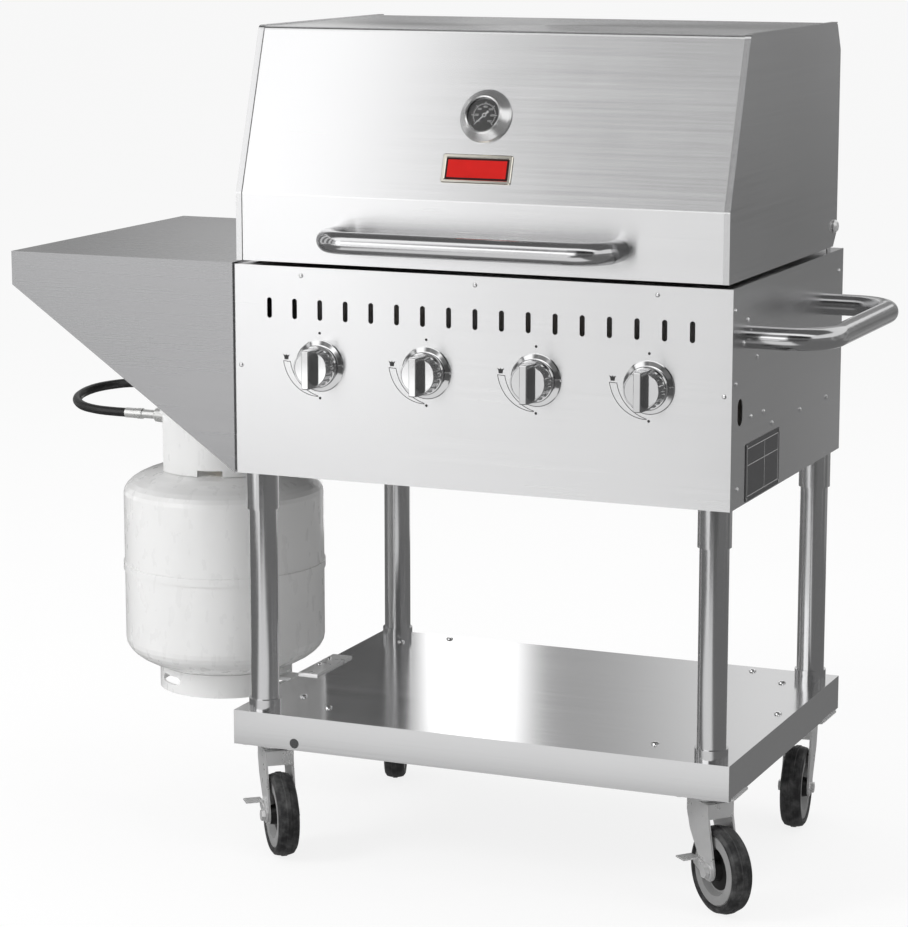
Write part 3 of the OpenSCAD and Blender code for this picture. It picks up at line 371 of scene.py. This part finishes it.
def zinc_plate(name, colour):
    """Pale zinc on pressed steel: slightly cloudy, with small scratches."""
    finish = Finish(name)
    cloud = finish.noise(45.0, detail=4, roughness=0.6)
    scratch = finish.noise(streaks("Z", 60.0, 700.0))
    tone = blended(cloud, scratch, 0.3)
    return finish.surface(
        Base_Color=finish.toned(colour, 0.90, 1.08, tone),
        Metallic=0.6,
        Roughness=varied(0.29, (cloud, 0.14)),
        Normal=finish.bump(tone, microns=40, strength=0.3))


def inner_steel(name, colour):
    """Plain inner sheet: dull, with a faint brown bloom from heat."""
    finish = Finish(name)
    cloud = finish.noise(9.0, detail=5, roughness=0.6)
    speck = finish.noise(240.0)
    bloom = tuple(c * part for c, part in zip(colour, (0.86, 0.76, 0.66)))
    return finish.surface(
        Base_Color=finish.mix(bloom, shade(colour, 1.15), blended(cloud.step(0.3, 0.7), speck, 0.2)),
        Metallic=1.0,
        Roughness=varied(0.45, (cloud, 0.2), (speck, 0.1)),
        Normal=finish.bump(speck, microns=100, strength=0.3))


def machined_brass(name, colour):
    """Brass, darker in patches."""
    finish = Finish(name)
    cloud = finish.noise(80.0, detail=3)
    return finish.surface(
        Base_Color=finish.toned(colour, 0.8, 1.08, cloud),
        Metallic=1.0,
        Roughness=varied(0.275, (cloud, 0.15)))


def moulded_plastic(name, colour, roughness):
    """Moulded plastic or rubber with a fine spark-eroded grain."""
    finish = Finish(name)
    grain = finish.noise(900.0, detail=1)
    cloud = finish.noise(30.0, detail=3)
    return finish.surface(
        Base_Color=finish.toned(colour, 0.85, 1.2, cloud),
        Roughness=varied(roughness, (grain, 0.12)),
        Normal=finish.bump(grain, microns=80, strength=0.35))


def tank_paint(name, colour):
    """Gloss white paint over rolled steel: slight orange peel, faint clouds and dust."""
    finish = Finish(name)
    peel = finish.noise(170.0, detail=1)
    cloud = finish.noise(7.0, detail=4, roughness=0.6)
    dust = finish.noise(streaks("Z", 25.0, 60.0), detail=4)
    return finish.surface(
        Base_Color=finish.toned(colour, 0.98, 1.0, blended(cloud.step(0.3, 0.7), dust, 0.4)),
        Roughness=varied(0.28, (dust, 0.06)),
        Coat_Weight=0.5,
        Coat_Roughness=0.10,
        Normal=finish.bump(peel, microns=50, strength=0.25))


def tyre_rubber(name):
    """Black rubber, scuffed paler in patches."""
    finish = Finish(name)
    scuff = finish.noise(55.0, detail=5, roughness=0.65)
    grain = finish.noise(700.0, detail=1)
    clean, worn = (0.012, 0.012, 0.013), grey(0.085)
    return finish.surface(
        Base_Color=finish.mix(clean, worn, scuff.step(0.35, 0.75)),
        Roughness=varied(0.465, (scuff, 0.25)),
        Normal=finish.bump(blended(scuff, grain, 0.3), microns=400, strength=0.4))


def hub_plastic(name, centre, along):
    """Grey moulded rim with a black core: the colour turns at the core's radius, in metres."""
    core, rim_start = 0.0285, 0.0292
    finish = Finish(name)
    offset = finish.vector("SUBTRACT", finish.place, centre)
    square = finish.vector("DOT_PRODUCT", offset, offset, out="Value")
    side = finish.vector("DOT_PRODUCT", offset, along, out="Value")
    radius = finish.math("SQRT", square - side * side)
    grain = finish.noise(500.0, detail=1)
    cloud = finish.noise(40.0, detail=3)
    rim = finish.mix(grey(0.26), grey(0.36), cloud)
    return finish.surface(
        Base_Color=finish.mix(grey(0.008), rim, radius.step(core, rim_start)),
        Roughness=varied(0.40, (grain, 0.12)),
        Normal=finish.bump(grain, microns=100, strength=0.3))


def enamel(name, colour):
    """Smooth coloured enamel."""
    finish = Finish(name)
    cloud = finish.noise(60.0)
    return finish.surface(
        Base_Color=finish.toned(colour, 0.85, 1.0, cloud),
        Roughness=varied(0.35, (cloud, 0.1)),
        Specular_IOR_Level=0.2)


def print_ink(name, colour):
    """Printed ink, worn paler in fine specks."""
    finish = Finish(name)
    wear = finish.noise(900.0)
    return finish.surface(
        Base_Color=finish.toned(colour, 1.0, 1.6, wear),
        Roughness=varied(0.55, (wear, 0.1)))


def clear_glass(name):
    """A flat glass: see-through, with a reflection that grows at a shallow angle, and a little dust."""
    finish = Finish(name)
    edge = finish.node("ShaderNodeFresnel", None, {"IOR": 1.45})
    dust = finish.noise(200.0)
    gloss = finish.node("ShaderNodeBsdfGlossy", None, {"Color": WHITE, "Roughness": 0.03})
    through = finish.node("ShaderNodeBsdfTransparent")
    pane = finish.node("ShaderNodeMixShader", None, {0: edge + dust * 0.02, 1: through, 2: gloss})
    return finish.end_in(pane)


def dress_nodes():
    """Gives each CAD node that shows its finish."""
    front_colour, side_colour = (0.70, 0.70, 0.705), (0.60, 0.60, 0.605)
    finishes = {
        brushed_sheet("front_steel", front_colour, roughness=0.25, along="X", contrast=0.08, drawn=0.86):
            ["front_panel", "lid_shell"],
        brushed_sheet("shelf_steel", front_colour, roughness=0.15, along="X"): ["lower_shelf"],
        brushed_sheet("side_steel", side_colour, roughness=0.24, along="Y", contrast=0.08, drawn=0.6):
            ["left_side_panel", "right_side_panel", "rear_panel", "lid_left_side", "lid_right_side"],
        brushed_sheet("side_shelf_steel", (0.345, 0.345, 0.35), roughness=0.26, along="X", contrast=0.05):
            ["side_shelf"],
        polished_tube("polished_tube", side_colour, roughness=0.16):
            ["lid_handle", "side_handle", "leg_tubes", "leg_sockets"],
        chrome_plate("chrome_plate", (0.86, 0.86, 0.865)): ["screws"],
        chrome_plate("gauge_plate", grey(0.92), roughness=0.26): ["gauge_case"],
        zinc_plate("zinc_plate", grey(0.80)):
            ["caster_plates", "brake_lever_left", "brake_lever_right", "hinge_bolts", "tank_bracket"]
            + [f"fork_{corner}" for corner in CORNERS],
        inner_steel("inner_steel", grey(0.40)):
            ["box_liner", "drip_tray", "tray_rails", "gas_manifold", "burners", "heat_tents",
             "cooking_grates", "spring_cup_1", "spring_cup_2", "spring_cup_3", "spring_cup_4"],
        machined_brass("machined_brass", (0.72, 0.56, 0.28)): ["gas_valves", "tank_valve"],
        moulded_plastic("black_trim", grey(0.012), roughness=0.4): ["gauge_dial", "tank_handwheel"],
        tank_paint("tank_paint", (0.88, 0.88, 0.875)): ["tank_shell", "tank_foot_ring", "tank_collar"],
        tyre_rubber("tyre_rubber"): [f"tyre_{corner}" for corner in CORNERS],
        zinc_plate("fitting_plate", (0.74, 0.74, 0.73)): ["tank_coupling"],
        zinc_plate("regulator_cast", (0.34, 0.34, 0.35)): ["regulator"],
        print_ink("needle_lacquer", grey(0.8)): ["gauge_needle"],
        clear_glass("gauge_pane"): ["gauge_glass"],
    }
    joints = {joint["child"]: joint for joint in frame["joints"]}
    for corner in CORNERS:
        axle = joints[f"wheel_{corner}"]
        plastic = hub_plastic(f"hub_{corner}_plastic", tuple(axle["pos_m"]), tuple(axle["axis"]))
        finishes[plastic] = [f"hub_{corner}"]
    for material, nodes in finishes.items():
        for node in nodes:
            mesh = NODES[node].data
            mesh.materials.clear()
            mesh.materials.append(material)


# Outlines and shapes, in millimetres. A shape is a mesh's points and faces


def polar(r, degrees):
    """The point at a radius and an angle."""
    return r * math.cos(math.radians(degrees)), r * math.sin(math.radians(degrees))


def shifted(points, x, y):
    """Points moved right and up. They may have a height too."""
    return [(p[0] + x, p[1] + y, *p[2:]) for p in points]


def disc(r, sides=24):
    """A round outline."""
    return [polar(r, 360 * k / sides) for k in range(sides)]


def rounded_box(w, h, r):
    """The outline of a rectangle with rounded corners, about its middle."""
    steps = 4
    spots = []
    for turn, x, y in ((0, 1, 1), (90, -1, 1), (180, -1, -1), (270, 1, -1)):
        corner = [polar(r, turn + 90 * k / steps) for k in range(steps + 1)]
        spots += shifted(corner, x * (w / 2 - r), y * (h / 2 - r))
    return spots


def arc_band(radius, width, start, end):
    """A band from one angle to another in degrees. radius gives its radius at t, which runs from 0 to 1."""
    steps = 40
    inner, outer = [], []
    for t in (k / steps for k in range(steps + 1)):
        inner.append(polar(radius(t) - width / 2, start + (end - start) * t))
        outer.append(polar(radius(t) + width / 2, start + (end - start) * t))
    return outer + inner[::-1]


def spoke(inner, outer, width, degrees):
    """The outline of a bar that points away from the middle."""
    along, across = Vector(polar(1, degrees)), Vector(polar(width / 2, degrees + 90))
    corners = ((inner, -1), (outer, -1), (outer, 1), (inner, 1))
    return [tuple(along * r + across * side) for r, side in corners]


def lofted(rings, capped=True):
    """A skin over several rings of as many points each."""
    count, last = len(rings[0]), len(rings) - 1
    verts = [spot for ring in rings for spot in ring]
    faces = []
    for k in range(last):
        low, high = k * count, (k + 1) * count
        faces += [[low + i, low + (i + 1) % count, high + (i + 1) % count, high + i] for i in range(count)]
    if capped:
        faces += [list(range(count))[::-1], list(range(last * count, (last + 1) * count))]
    return verts, faces


def slab(outline, low, high):
    """A flat slab: an outline in X and Y, from height low to high."""
    return lofted([[(x, y, z) for x, y in outline] for z in (low, high)])


def turned(profile, sides=120, capped=True):
    """A turned piece. Its profile is a list of radius and height."""
    return lofted([[(*spot, z) for spot in disc(r, sides)] for r, z in profile], capped)


def joined(shapes):
    """Several shapes as one."""
    verts, faces = [], []
    for v, f in shapes:
        faces += [[i + len(verts) for i in face] for face in f]
        verts += v
    return verts, faces


# Where the trim goes: matrices that take millimetres on a face to the frame

IN_MILLIMETRES = Matrix.Scale(0.001, 4)
UPRIGHT = Matrix.Rotation(math.radians(90), 4, "X")


def on_slant(up, out=0.0):
    """On the lid's slanted front: X across, Y up the slant, Z out of the sheet."""
    base = at(0, math.sin(SLANT_TILT) * up, LID_BEND + math.cos(SLANT_TILT) * up)
    turn = Matrix.Rotation(math.radians(90) - SLANT_TILT, 4, "X")
    return Matrix.Translation(base) @ turn @ IN_MILLIMETRES @ Matrix.Translation((0, 0, out))


def on_front(x, z, out=0.0):
    """On the front panel: X across, Y up, Z towards the viewer."""
    return Matrix.Translation(at(x, -out, z)) @ UPRIGHT @ IN_MILLIMETRES


def on_right_side(y, z):
    """On the right side panel: X to the back, Y up, Z out to the right."""
    turn = Matrix.Rotation(math.radians(90), 4, "Z") @ UPRIGHT
    return Matrix.Translation(at(BOX_HALF, y, z)) @ turn @ IN_MILLIMETRES


def mesh_piece(name, shape, place, material, body):
    """A piece of trim, which rides on a body."""
    verts, faces = shape
    mesh = bpy.data.meshes.new(name)
    mesh.from_pydata(verts, [], faces)
    bm = bmesh.new()
    bm.from_mesh(mesh)
    bmesh.ops.recalc_face_normals(bm, faces=bm.faces)
    bm.to_mesh(mesh)
    bm.free()
    mesh.transform(place)
    mesh.materials.append(material)
    piece = added(name, mesh)
    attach(piece, body)
    return piece


# Small trim


def make_badge():
    """The lid's badge: a pale metal frame round a bare red enamel field, with a near-black painted shadow
    line between them.
    """
    up, left = 47.5, 3.5
    w, h = 106.0, 42.0
    place = on_slant(up) @ Matrix.Translation((-left, 0, 0))
    # Each ring of the frame: how far in from its outline, its height and its corners' radius
    section = [(0, 0.0, 3.0), (0, 1.6, 3.0), (1.2, 2.6, 2.4), (4.2, 2.6, 1.6), (5.4, 1.4, 1.2),
               (5.4, 0.4, 1.2)]
    rim = lofted([[(*spot, z) for spot in rounded_box(w - 2 * inset, h - 2 * inset, r)]
                  for inset, z, r in section], capped=False)
    mesh_piece("badge_frame", rim, place, chrome_plate("badge_gilt", (0.96, 0.92, 0.82)), "lid")
    # A near-black ground under the frame shows as a thin ring round the red field: a painted shadow line,
    # not a dark enamel.
    dark = enamel("badge_painted_shadow", (0.03, 0.006, 0.006))
    red = enamel("badge_red", (0.66, 0.006, 0.003))
    # Each layer inside it: how far in from the outline, its corners' radius, its lower and its upper height
    layers = [("badge_shadow_line", dark, 5.3, 1.2, 0.1, 0.9), ("badge_field", red, 8.25, 0.8, 0.8, 1.3)]
    for name, finish, inset, r, low, high in layers:
        layer = slab(rounded_box(w - 2 * inset, h - 2 * inset, r), low, high)
        mesh_piece(name, layer, place, finish, "lid")


def make_dial_marks():
    """White print on the gauge's dial: a scale with ticks and plain numbers."""
    numbers, ticks_between = 7, 5
    digit_size, digit_depth = 4.4, 0.03
    start, sweep = 225, 270
    ring, ring_width, number_ring = 16.2, 0.45, 12.2
    tick_start, long_end, short_end = 16.4, 19.6, 18.0
    long_width, short_width = 0.84, 0.44
    layer = {"low": 0.02, "high": 0.12}
    place = on_slant(GAUGE_UP, DIAL_FACE)
    ink = print_ink("dial_print", grey(0.82))
    shapes = [slab(arc_band(lambda t: ring, ring_width, start - sweep, start), **layer)]
    last_tick = (numbers - 1) * ticks_between
    for k in range(last_tick + 1):
        end, width = (short_end, short_width) if k % ticks_between else (long_end, long_width)
        shapes.append(slab(spoke(tick_start, end, width, start - sweep * k / last_tick), **layer))
    mesh_piece("dial_scale", joined(shapes), place, ink, "lid")
    for k in range(numbers):
        data = bpy.data.curves.new(f"dial_number_{k + 1}", "FONT")
        data.body = str(100 * (k + 1))
        data.size = digit_size
        data.align_x = "CENTER"
        data.align_y = "CENTER"
        data.extrude = digit_depth
        number = added(data.name, data)
        x, y = polar(number_ring, start - sweep * k / (numbers - 1))
        number.matrix_world = place @ Matrix.Translation((x, y, 2 * digit_depth))
        data.materials.append(ink)
        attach(number, "lid")


def knob_place(node):
    """A knob's middle: its place across the front panel, and its height."""
    low, high = node_box(node)
    return (low[0] + high[0]) / 2 - MIDDLE.x, (low[2] + high[2]) / 2


def knob_shape():
    """A knob on its stem: a skirt, a notched drum with a sunk face, and a tapered grip bar across it."""
    notches, steps, notch_depth = 20, 6, 1.2
    # The skirt and drum's profile as radius and height, and which of its rings are notched
    profile = [(31.0, 0.0), (31.0, 3.0), (30.0, 4.4), (28.6, 5.0), (28.5, 6.0), (28.4, 6.2), (26.2, 23.2),
               (26.0, 23.5), (26.0, 24.4), (25.4, 25.0), (24.4, 25.0), (24.0, 24.0)]
    notched = (5, 6)
    rings = []
    for k, (r, z) in enumerate(profile):
        ring = disc(r, notches * steps)
        if k in notched:
            sunk = disc(r - notch_depth, notches * steps)
            ring = [sunk[i] if i % steps < steps // 2 else ring[i] for i in range(len(ring))]
        rings.append([(*spot, z) for spot in ring])
    # The grip bar's sections: its half width, the radius of its round ends and its height
    bar = [(7.5, 28.9, 5.1), (7.5, 28.5, 23.0), (5.5, 28.0, 40.5), (5.2, 27.4, 41.4), (4.5, 26.5, 42.0)]
    end_steps = 8
    sections = []
    for half, r, z in bar:
        lean = math.degrees(math.asin(half / r))
        top = [(*polar(r, 90 + lean * (1 - 2 * k / end_steps)), z) for k in range(end_steps + 1)]
        sections.append(top + [(-x, -y, z) for x, y, z in top])
    stem = turned([(4.0, -36.0), (4.0, 1.0)], sides=24)
    return joined([lofted(rings), lofted(sections), stem])


def make_knobs():
    """The knobs and their bezels, with the forms that the CAD's plainer ones lack."""
    shape = knob_shape()
    finish = chrome_plate("knob_plate", (0.66, 0.66, 0.665))
    for node in KNOBS:
        place = on_front(*knob_place(node), KNOB_BACK)
        knob = mesh_piece(f"chrome_{node}", shape, place, finish, node)
        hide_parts(node)
    profile = [(7.0, 4.0), (29.5, 4.0), (31.0, 3.6), (36.8, 1.6), (38.0, 0.8), (38.0, 0.0)]
    verts, faces = turned(profile, capped=False)
    rings = joined([(shifted(verts, *knob_place(node)), faces) for node in KNOBS])
    bezels = mesh_piece("chrome_bezels", rings, on_front(0, 0), finish, "root")
    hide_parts("knob_bezels")


def make_knob_marks():
    """Black print round each knob: a dot above and below, a flame, and a horn that tapers downwards."""
    dot_up, dot_r = 47.5, 2.0
    flame = [(0, 4.6), (1.4, 2.4), (5.2, 4.2), (3.4, 0.4), (3.0, -3.4), (-3.0, -3.4), (-3.4, 0.4),
             (-5.2, 4.2), (-1.4, 2.4)]
    flame_x, flame_y = -53.6, 9.6
    # The horn: the angles of its mouth and tip, its line's width, the line over its mouth, and the radius of
    # its outer and inner line from mouth to tip
    mouth, tip, line = 176, 266, 0.9
    mouth_line = [(-58.6, 4.4), (-46.9, 3.8), (-46.9, 2.9), (-58.6, 3.5)]
    outer = arc_band(lambda t: 58.4 - 20.8 * t + 7.8 * t * t, line, mouth, tip)
    inner = arc_band(lambda t: 47.4 - 17.9 * t + 15.0 * t * t, line, mouth, tip)
    outlines = [
        shifted(disc(dot_r), 0, dot_up),
        shifted(disc(dot_r), 0, -dot_up),
        shifted(flame, flame_x, flame_y),
        outer,
        inner,
        mouth_line,
    ]
    marks = joined([slab(outline, low=0.03, high=0.15) for outline in outlines])
    ink = print_ink("panel_print", grey(0.02))
    for i, node in enumerate(KNOBS, 1):
        mesh_piece(f"knob_print_{i}", marks, on_front(*knob_place(node)), ink, "root")


def make_data_plate():
    """The bare dark plate low on the right side, with four small rivets and a few plain printed lines."""
    w, h, corner = 158.0, 82.0, 3.0
    back, up = 145.0, 43.0
    line, line_corner, margin, upright_at, level_at = 0.9, 0.2, 7.0, 8.0, 10.0
    rivet_r, rivet_in = 2.4, 4.0
    place = on_right_side(back, BOX_BOTTOM + up)
    dark = moulded_plastic("plate_black", (0.045, 0.045, 0.047), roughness=0.35)
    plate = slab(rounded_box(w, h, corner), low=0.05, high=0.9)
    mesh_piece("data_plate", plate, place, dark, "root")
    level = rounded_box(w - 2 * margin, line, line_corner)
    upright = rounded_box(line, h - 2 * margin, line_corner)
    lines = [shifted(level, 0, y) for y in (h / 2 - margin, margin - h / 2, level_at)]
    lines += [shifted(upright, x, 0) for x in (margin - w / 2, w / 2 - margin, upright_at)]
    border = joined([slab(outline, low=0.88, high=0.98) for outline in lines])
    pale = print_ink("plate_print", grey(0.42))
    mesh_piece("data_plate_border", border, place, pale, "root")
    spots = [(x * (w / 2 - rivet_in), y * (h / 2 - rivet_in)) for x in (-1, 1) for y in (-1, 1)]
    rivets = joined([slab(shifted(disc(rivet_r), *spot), low=0.8, high=1.9) for spot in spots])
    bright = chrome_plate("rivet_plate", grey(0.75))
    mesh_piece("data_plate_rivets", rivets, place, bright, "root")


# Stage and light, in metres


def stage_sheet(name, corners, finish):
    """A flat sheet that isn't part of the grill."""
    mesh = bpy.data.meshes.new(name)
    mesh.from_pydata(corners, [], [(0, 1, 2, 3)])
    mesh.materials.append(finish)
    sheet = added(name, mesh)
    return sheet


def level_sheet(left, right, front, back, z):
    return [(left, front, z), (right, front, z), (right, back, z), (left, back, z)]


def upright_sheet(start, end, top):
    """The corners of a card that stands just over the floor, from one place to another."""
    foot = 0.02
    return [(*start, foot), (*end, foot), (*end, top), (*start, top)]


def floor_sheet(left, right, front, back):
    """The corners of a card that lies just over the floor."""
    return level_sheet(left, right, front, back, 0.004)


def make_floor():
    """A pale floor that reads as white and keeps the shadow."""
    reach, glow, glow_share = 90.0, 1.05, 0.8
    finish = Finish("floor_white")
    colour = finish.mix(grey(0.84), grey(0.88), finish.noise(4.0))
    lit = finish.node("ShaderNodeBsdfDiffuse", None, {"Color": colour})
    factor = finish.seen() * glow_share
    cover = finish.node("ShaderNodeMixShader", None, {0: factor, 1: lit, 2: finish.glow(glow)})
    stage_sheet("floor", level_sheet(-reach, reach, -reach, reach, 0), finish.end_in(cover))


def make_world():
    """A pale room: white where it is seen or mirrored, and a softer level where it lights."""
    world = bpy.data.worlds.new("studio")
    bpy.context.scene.world = world
    nodes = Nodes(world)
    level = nodes.seen() * (SEEN_LEVEL - ROOM_LEVEL) + ROOM_LEVEL
    room = nodes.node("ShaderNodeBackground", None, {"Color": WHITE, "Strength": level})
    nodes.node("ShaderNodeOutputWorld", None, {"Surface": room})


def soft_box(name, place, target, width, height, power):
    """A lamp that lights the grill, but shows neither to the camera nor in the metal."""
    data = bpy.data.lights.new(name, "AREA")
    data.shape = "RECTANGLE"
    data.size = width
    data.size_y = height
    data.energy = power
    lamp = added(name, data)
    lamp.matrix_world = aimed(place, Vector(target) - Vector(place))
    lamp.visible_camera = False
    lamp.visible_glossy = False


def card(name, corners, tone):
    """A studio card that only reflections see. tone is the function that gives its glow."""
    finish = Finish(name)
    made = stage_sheet(name, corners, finish.end_in(finish.glow(tone(finish))))
    made.visible_camera = False
    made.visible_diffuse = False
    made.visible_shadow = False
    made.visible_transmission = False


def even_tone(level):
    """The tone of a plain card, with faint clouds."""
    return lambda finish: varied(level, (finish.noise(0.8, detail=1), 0.3 * level))


def front_wall_tone(finish):
    """High up, what the lid's slant shows: bright at the left, then soft bands. Below it, a bright wall
    that gives tubes and bends their highlight, and at its foot what the lid's front strip shows.
    The right half is dark."""
    bright = 2.0
    x, z = finish.along("X"), finish.along("Z")
    slant = bands(x, 0.23, (-2.9, -4.0, 1.35), (-2.3, -2.1, 0.14), (-1.95, -1.75, -0.07))
    foot = bands(x, 0.84, (-2.3, -3.3, 0.90))
    wall = blended(blended(foot, bright, z.step(1.4, 1.9)), slant, z.step(3.0, 3.8))
    return wall * bands(x, 1.0, (0.0, 0.8, -0.9))


def back_wall_tone(finish):
    """Behind the side shelf it brightens to the right, and behind the lid it is darker."""
    across = bands(finish.along("X"), 0.42, (-3.4, -2.4, 0.35), (-2.3, -2.0, -0.48), (-1.85, -1.72, 0.22),
                   (-1.56, -1.52, -0.22))
    return bands(finish.along("Z"), across, (2.2, 2.8, 0.2))


def ceiling_tone(finish):
    """A dark ceiling, which draws the dark line along the top of a tube, with a bright front edge."""
    return bands(finish.along("Y"), 0.15, (-3.2, -4.0, 1.3))


def shelf_back_tone(finish):
    """What the lower shelf shows: dark at the left, a bright window, then grey that brightens and fades."""
    return bands(finish.along("X"), 0.10, (-1.00, -0.88, 2.0), (-0.78, -0.62, -1.68), (-0.60, -0.1, 0.42),
                 (0.05, 0.35, -0.35))


def striped_tone(finish):
    """Soft dark and bright upright stripes, which round pieces show as streaks."""
    wave = finish.math("SINE", finish.along("Y") * 3.0)
    return bands(wave, 0.12, (-0.7, 0.8, 0.8))


def cloudy_tone(finish):
    """Dark, with paler drifting streaks, for the grill's right side."""
    return bands(finish.noise(streaks("Z", 1.6, 3.0), detail=1), 0.18, (0.35, 0.7, 0.22))


def window_floor_tone(finish):
    """Daylight on the floor in front of the grill's left half."""
    return bands(finish.along("X"), 0.92, (-1.35, -1.95, 1.3))


def near_floor_tone(finish):
    """The floor round the grill: dark, with a lit patch towards the camera."""
    x, y = finish.along("X"), finish.along("Y")
    lit = x.step(-0.95, -0.6) * x.step(1.0, 0.7) * y.step(-0.62, -0.88)
    return lit * 0.75 + 0.20


def make_light():
    """Soft lamps that only light, and cards that give the bare metal something to mirror."""
    make_world()
    grill = (0.0, 0.0, 0.7)
    soft_box("window", (-2.9, -3.2, 1.3), (-0.1, 0.0, 0.9), width=1.9, height=2.6, power=34)
    soft_box("side_box", (4.2, -1.6, 2.6), grill, width=0.7, height=1.6, power=12)
    soft_box("top_box", (0.2, 0.4, 4.2), grill, width=2.6, height=2.2, power=40)
    soft_box("form_box", (-3.2, -3.4, 3.6), grill, width=1.6, height=1.6, power=85)
    side, front, back, top = 9.0, -7.0, 4.3, 8.0
    card("front_wall", upright_sheet((-side, front), (side, front), top), front_wall_tone)
    card("left_wall", upright_sheet((-6.0, -6.9), (-6.0, 4.2), top=5.0), striped_tone)
    card("ceiling", level_sheet(-side, side, front, back, top), ceiling_tone)
    card("back_wall", upright_sheet((-7.0, back), (0.7, back), top=6.0), back_wall_tone)
    card("shelf_back", upright_sheet((-1.9, 2.0), (0.55, 2.0), top=1.08), shelf_back_tone)
    card("right_flag", upright_sheet((0.6, 2.6), (3.4, 0.3), top=1.4), cloudy_tone)
    card("front_right_flag", upright_sheet((2.7, -2.4), (3.2, 0.2), top=1.4), even_tone(0.22))
    card("near_floor", floor_sheet(left=-4.0, right=4.0, front=-2.3, back=4.2), near_floor_tone)
    card("window_floor", floor_sheet(left=-2.2, right=-0.9, front=-4.6, back=-2.8), window_floor_tone)
    card("right_floor", floor_sheet(left=-0.3, right=4.0, front=-6.9, back=-2.3), even_tone(0.12))


make_camera()
make_hose(moulded_plastic("hose_rubber", grey(0.014), roughness=0.38))
dress_nodes()
make_badge()
make_dial_marks()
make_knobs()
make_knob_marks()
make_data_plate()
make_floor()
make_light()
bpy.context.scene.view_settings.view_transform = "Standard"
bpy.context.view_layer.update()
